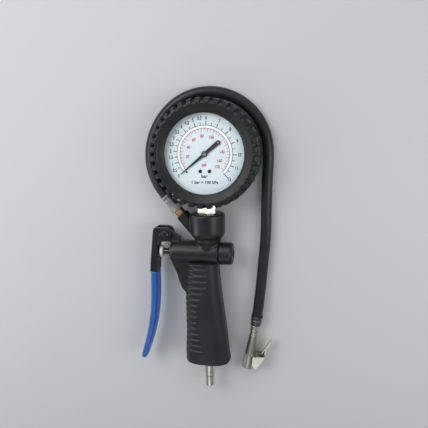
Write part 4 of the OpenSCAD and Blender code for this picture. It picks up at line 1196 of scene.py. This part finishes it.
@dataclass
class Lever:
    """The squeeze lever with its dipped sleeve and its pin."""

    voxel: float = 0.3
    rounds: int = 12
    half_width: float = 8.5
    # How much narrower the sleeve's tip is on each side
    taper: float = 1.6
    around: int = 96
    spans: int = 90
    # The power that turns a round section to one with flatter sides
    squareness: float = 0.6
    # Control points of the sleeve's middle line, its depth along it, and how far on each side
    # the depth's corners are eased
    line: tuple[Flat, ...] = ((-54.6, -117.0), (-54.4, -160.0), (-58.4, -178.0), (-69.6, -211.0))
    depth: list[Flat] = field(default_factory=lambda: [
        (0.0, 7.8), (0.25, 7.8), (0.5, 7.6), (0.75, 7.2), (1.0, 6.2)])
    ease: float = 0.05

    def spot(self, t: float) -> Vector:
        """Find a point on the sleeve's middle line.

        Args:
            t: The share of the line that is passed, from the pin to the tip.

        Returns:
            The point.
        """
        s = 1 - t
        p = [Vector(q) for q in self.line]
        return s**3 * p[0] + 3 * s * s * t * p[1] + 3 * s * t * t * p[2] + t**3 * p[3]

    def ring(self, t: float, shrink: float, push: float = 0.0) -> list[Point]:
        """Draw the sleeve's section.

        Args:
            t: The share of the middle line that is passed.
            shrink: How far the section is drawn in all round.
            push: How far it is pushed along the line.

        Returns:
            The section's points.
        """
        spot = self.spot(t)
        ahead = (self.spot(min(1, t + 0.01)) - self.spot(max(0, t - 0.01))).normalized()
        side = Vector((-ahead.y, ahead.x))
        a = smooth_lookup(t, self.depth, self.ease) / 2 - shrink
        b = self.half_width - shrink - self.taper * t**3
        points = []
        for i in range(self.around):
            c, s = polar(1, 360 * i / self.around)
            at = spot + side * (a * spow(c, self.squareness)) + ahead * push
            points.append((at.x, at.y, MID_HEIGHT + b * spow(s, self.squareness)))
        return points

    def build(self) -> None:
        """Soften the lever's casting, and sweep the sleeve with its rolled top edge."""
        mesh = cast_copy("lever", self.voxel, self.rounds)
        place("cast_lever", mesh, LEVER_COAT, Body.LEVER, ("lever",), MOULDED_SHARP)
        rings = [self.ring(0, 1.4), self.ring(0, 0.8), self.ring(0.002, 0.3),
                 self.ring(0.006, 0.05), self.ring(0.012, 0.0), self.ring(0.022, 0.12)]
        rings += [self.ring(0.03 + 0.96 * i / self.spans, 0.12 if i < 3 else 0.05)
                  for i in range(self.spans + 1)]
        rings += [self.ring(1, 0.15), self.ring(1, 0.35, 0.5), self.ring(1, 0.8, 1.2),
                  self.ring(1, 1.6, 1.8), self.ring(1, 2.6, 2.0)]
        sleeve = make_mesh("dipped_sleeve", loft(rings))
        place("dipped_sleeve", sleeve, SLEEVE_VINYL, Body.LEVER,
              ("lever_sleeve",), MOULDED_SHARP)
        dress(BLACKED_STEEL, "lever_pin")
        dress(SPRING_STEEL, "pin_clip")


# ---- Chuck -----------------------------------------------------------------------------


@dataclass
class Chuck:
    """The clip-on chuck at the hose's end."""

    end: Point = (47.8, -165.0, 7.6)
    # The clip's spring starts this far across and along the chuck from the hose's end
    spring_at: Flat = (5.85, -39.2)

    def spring(self) -> CoilSpring:
        """Put a coil spring between the chuck's body and the clip.

        Returns:
            The spring, whose end at the body stays.
        """
        start = (Vector(self.end) + Vector(CHUCK_ACROSS) * self.spring_at[0]
                 + Vector(CHUCK_AXIS) * self.spring_at[1])
        return CoilSpring(
            "clip_coil", "clip_spring", start=tuple(start), axis=CHUCK_ACROSS, radius=1.4,
            length=4.6, wire=0.5, turns=4, joint="clip_swing", keep=0.58, far_end_stays=False)

    def build(self) -> None:
        """Wind the clip's spring and dress the chuck's parts."""
        self.spring().build()
        dress(CHUCK_FERRULE, "chuck_ferrule")
        dress(CHUCK_NICKEL, "chuck_collar")
        dress(CHUCK_ZINC, "chuck_body")
        dress(SEAL_RUBBER, "chuck_seal")
        dress(MOVEMENT_BRASS, "valve_depressor")
        dress(CLIP_STEEL, "clip_lever", "clip_rivets")


# ---- Studio ----------------------------------------------------------------------------


@dataclass(frozen=True)
class SoftBox:
    """A lamp with a wide, even face: its place, its width and height, and its watts."""

    name: str
    spot: Point
    size: Flat
    power: float
    aim: Point = (0.0, -80.0, 10.0)

    def hang(self) -> None:
        """Put the lamp into the scene, turned to its aim."""
        data = bpy.data.lights.new(self.name, "AREA")
        data.shape = "RECTANGLE"
        data.size, data.size_y = self.size[0] * MM, self.size[1] * MM
        data.energy = self.power
        facing = (Vector(self.aim) - Vector(self.spot)).to_track_quat("-Z", "Y")
        link(self.name, data).matrix_world = (
            Matrix.Translation(Vector(self.spot) * MM) @ facing.to_matrix().to_4x4())


@dataclass
class Studio:
    """The camera, the pale bench and soft lamps round it."""

    # The camera's place, and the directions to its right, up and ahead
    eye: Point = (85.9, 21.3, 419.8)
    right: Point = (0.98174, -0.01213, -0.19135)
    up: Point = (-0.02458, 0.98210, -0.18829)
    forward: Point = (-0.19021, -0.18956, -0.96329)
    lens: float = 36.41
    film: float = 36.0
    bench_half: float = 3000.0
    bench_level: float = -0.05
    bench_colour: str = "#DEDFE1"
    sky_colour: str = "#E4E7EB"
    sky_strength: float = 0.3
    lamps: tuple[SoftBox, ...] = (
        SoftBox("key_softbox", (-420, 260, 620), (560, 400), 2.35),
        SoftBox("fill_softbox", (520, -60, 420), (300, 420), 1.05),
        SoftBox("top_softbox", (0, 520, 380), (800, 280), 0.8),
        SoftBox("low_softbox", (-620, -190, 230), (420, 300), 0.7, (0, -60, 15)),
        SoftBox("front_softbox", (-40, -540, 500), (400, 200), 0.2, (20, -210, 10)))

    def camera(self) -> None:
        """Place the camera."""
        data = bpy.data.cameras.new("camera")
        data.lens = self.lens
        data.sensor_width = data.sensor_height = self.film
        data.clip_start, data.clip_end = 0.01, 20
        eye = link("camera", data)
        turn = Matrix((self.right, self.up, tuple(-v for v in self.forward))).transposed()
        eye.matrix_world = Matrix.Translation(Vector(self.eye) * MM) @ turn.to_4x4()
        bpy.context.scene.camera = eye

    def bench(self) -> None:
        """Lay the pale bench under the tool."""
        made, tree = blank_material("bench_painted_pale")
        paint = add(tree, "ShaderNodeBsdfPrincipled",
                    {"Base Color": linear(self.bench_colour), "Roughness": 0.7})
        add(tree, "ShaderNodeOutputMaterial", {"Surface": paint.outputs[0]})
        corners = [(x * self.bench_half, y * self.bench_half, self.bench_level)
                   for x, y in ((-1, -1), (1, -1), (1, 1), (-1, 1))]
        mesh = make_mesh("bench", (corners, [(0, 1, 2, 3)]))
        mesh.materials.append(made)
        link("bench", mesh)

    def build(self) -> None:
        """Light the tool softly from above, with a key lamp from the upper left."""
        scene = bpy.context.scene
        scene.view_settings.view_transform = "Standard"
        scene.world = bpy.data.worlds.new("studio")
        scene.world.use_nodes = True
        tree = scene.world.node_tree
        tree.nodes.clear()
        sky = add(tree, "ShaderNodeBackground",
                  {"Color": linear(self.sky_colour), "Strength": self.sky_strength})
        add(tree, "ShaderNodeOutputWorld", {"Surface": sky.outputs[0]})
        for lamp in self.lamps:
            lamp.hang()
        self.bench()


def main() -> None:
    """Build the tool and its studio."""
    logging.basicConfig(level=logging.INFO, format="%(name)s %(message)s")
    studio = Studio()
    studio.camera()
    for part in (Chuck(), HoseLine(), GaugeHead(), ValveBody(), Grip(), Lever()):
        part.build()
        log.info("built %s", type(part).__name__)
    studio.build()


if __name__ == "__main__":
    main()
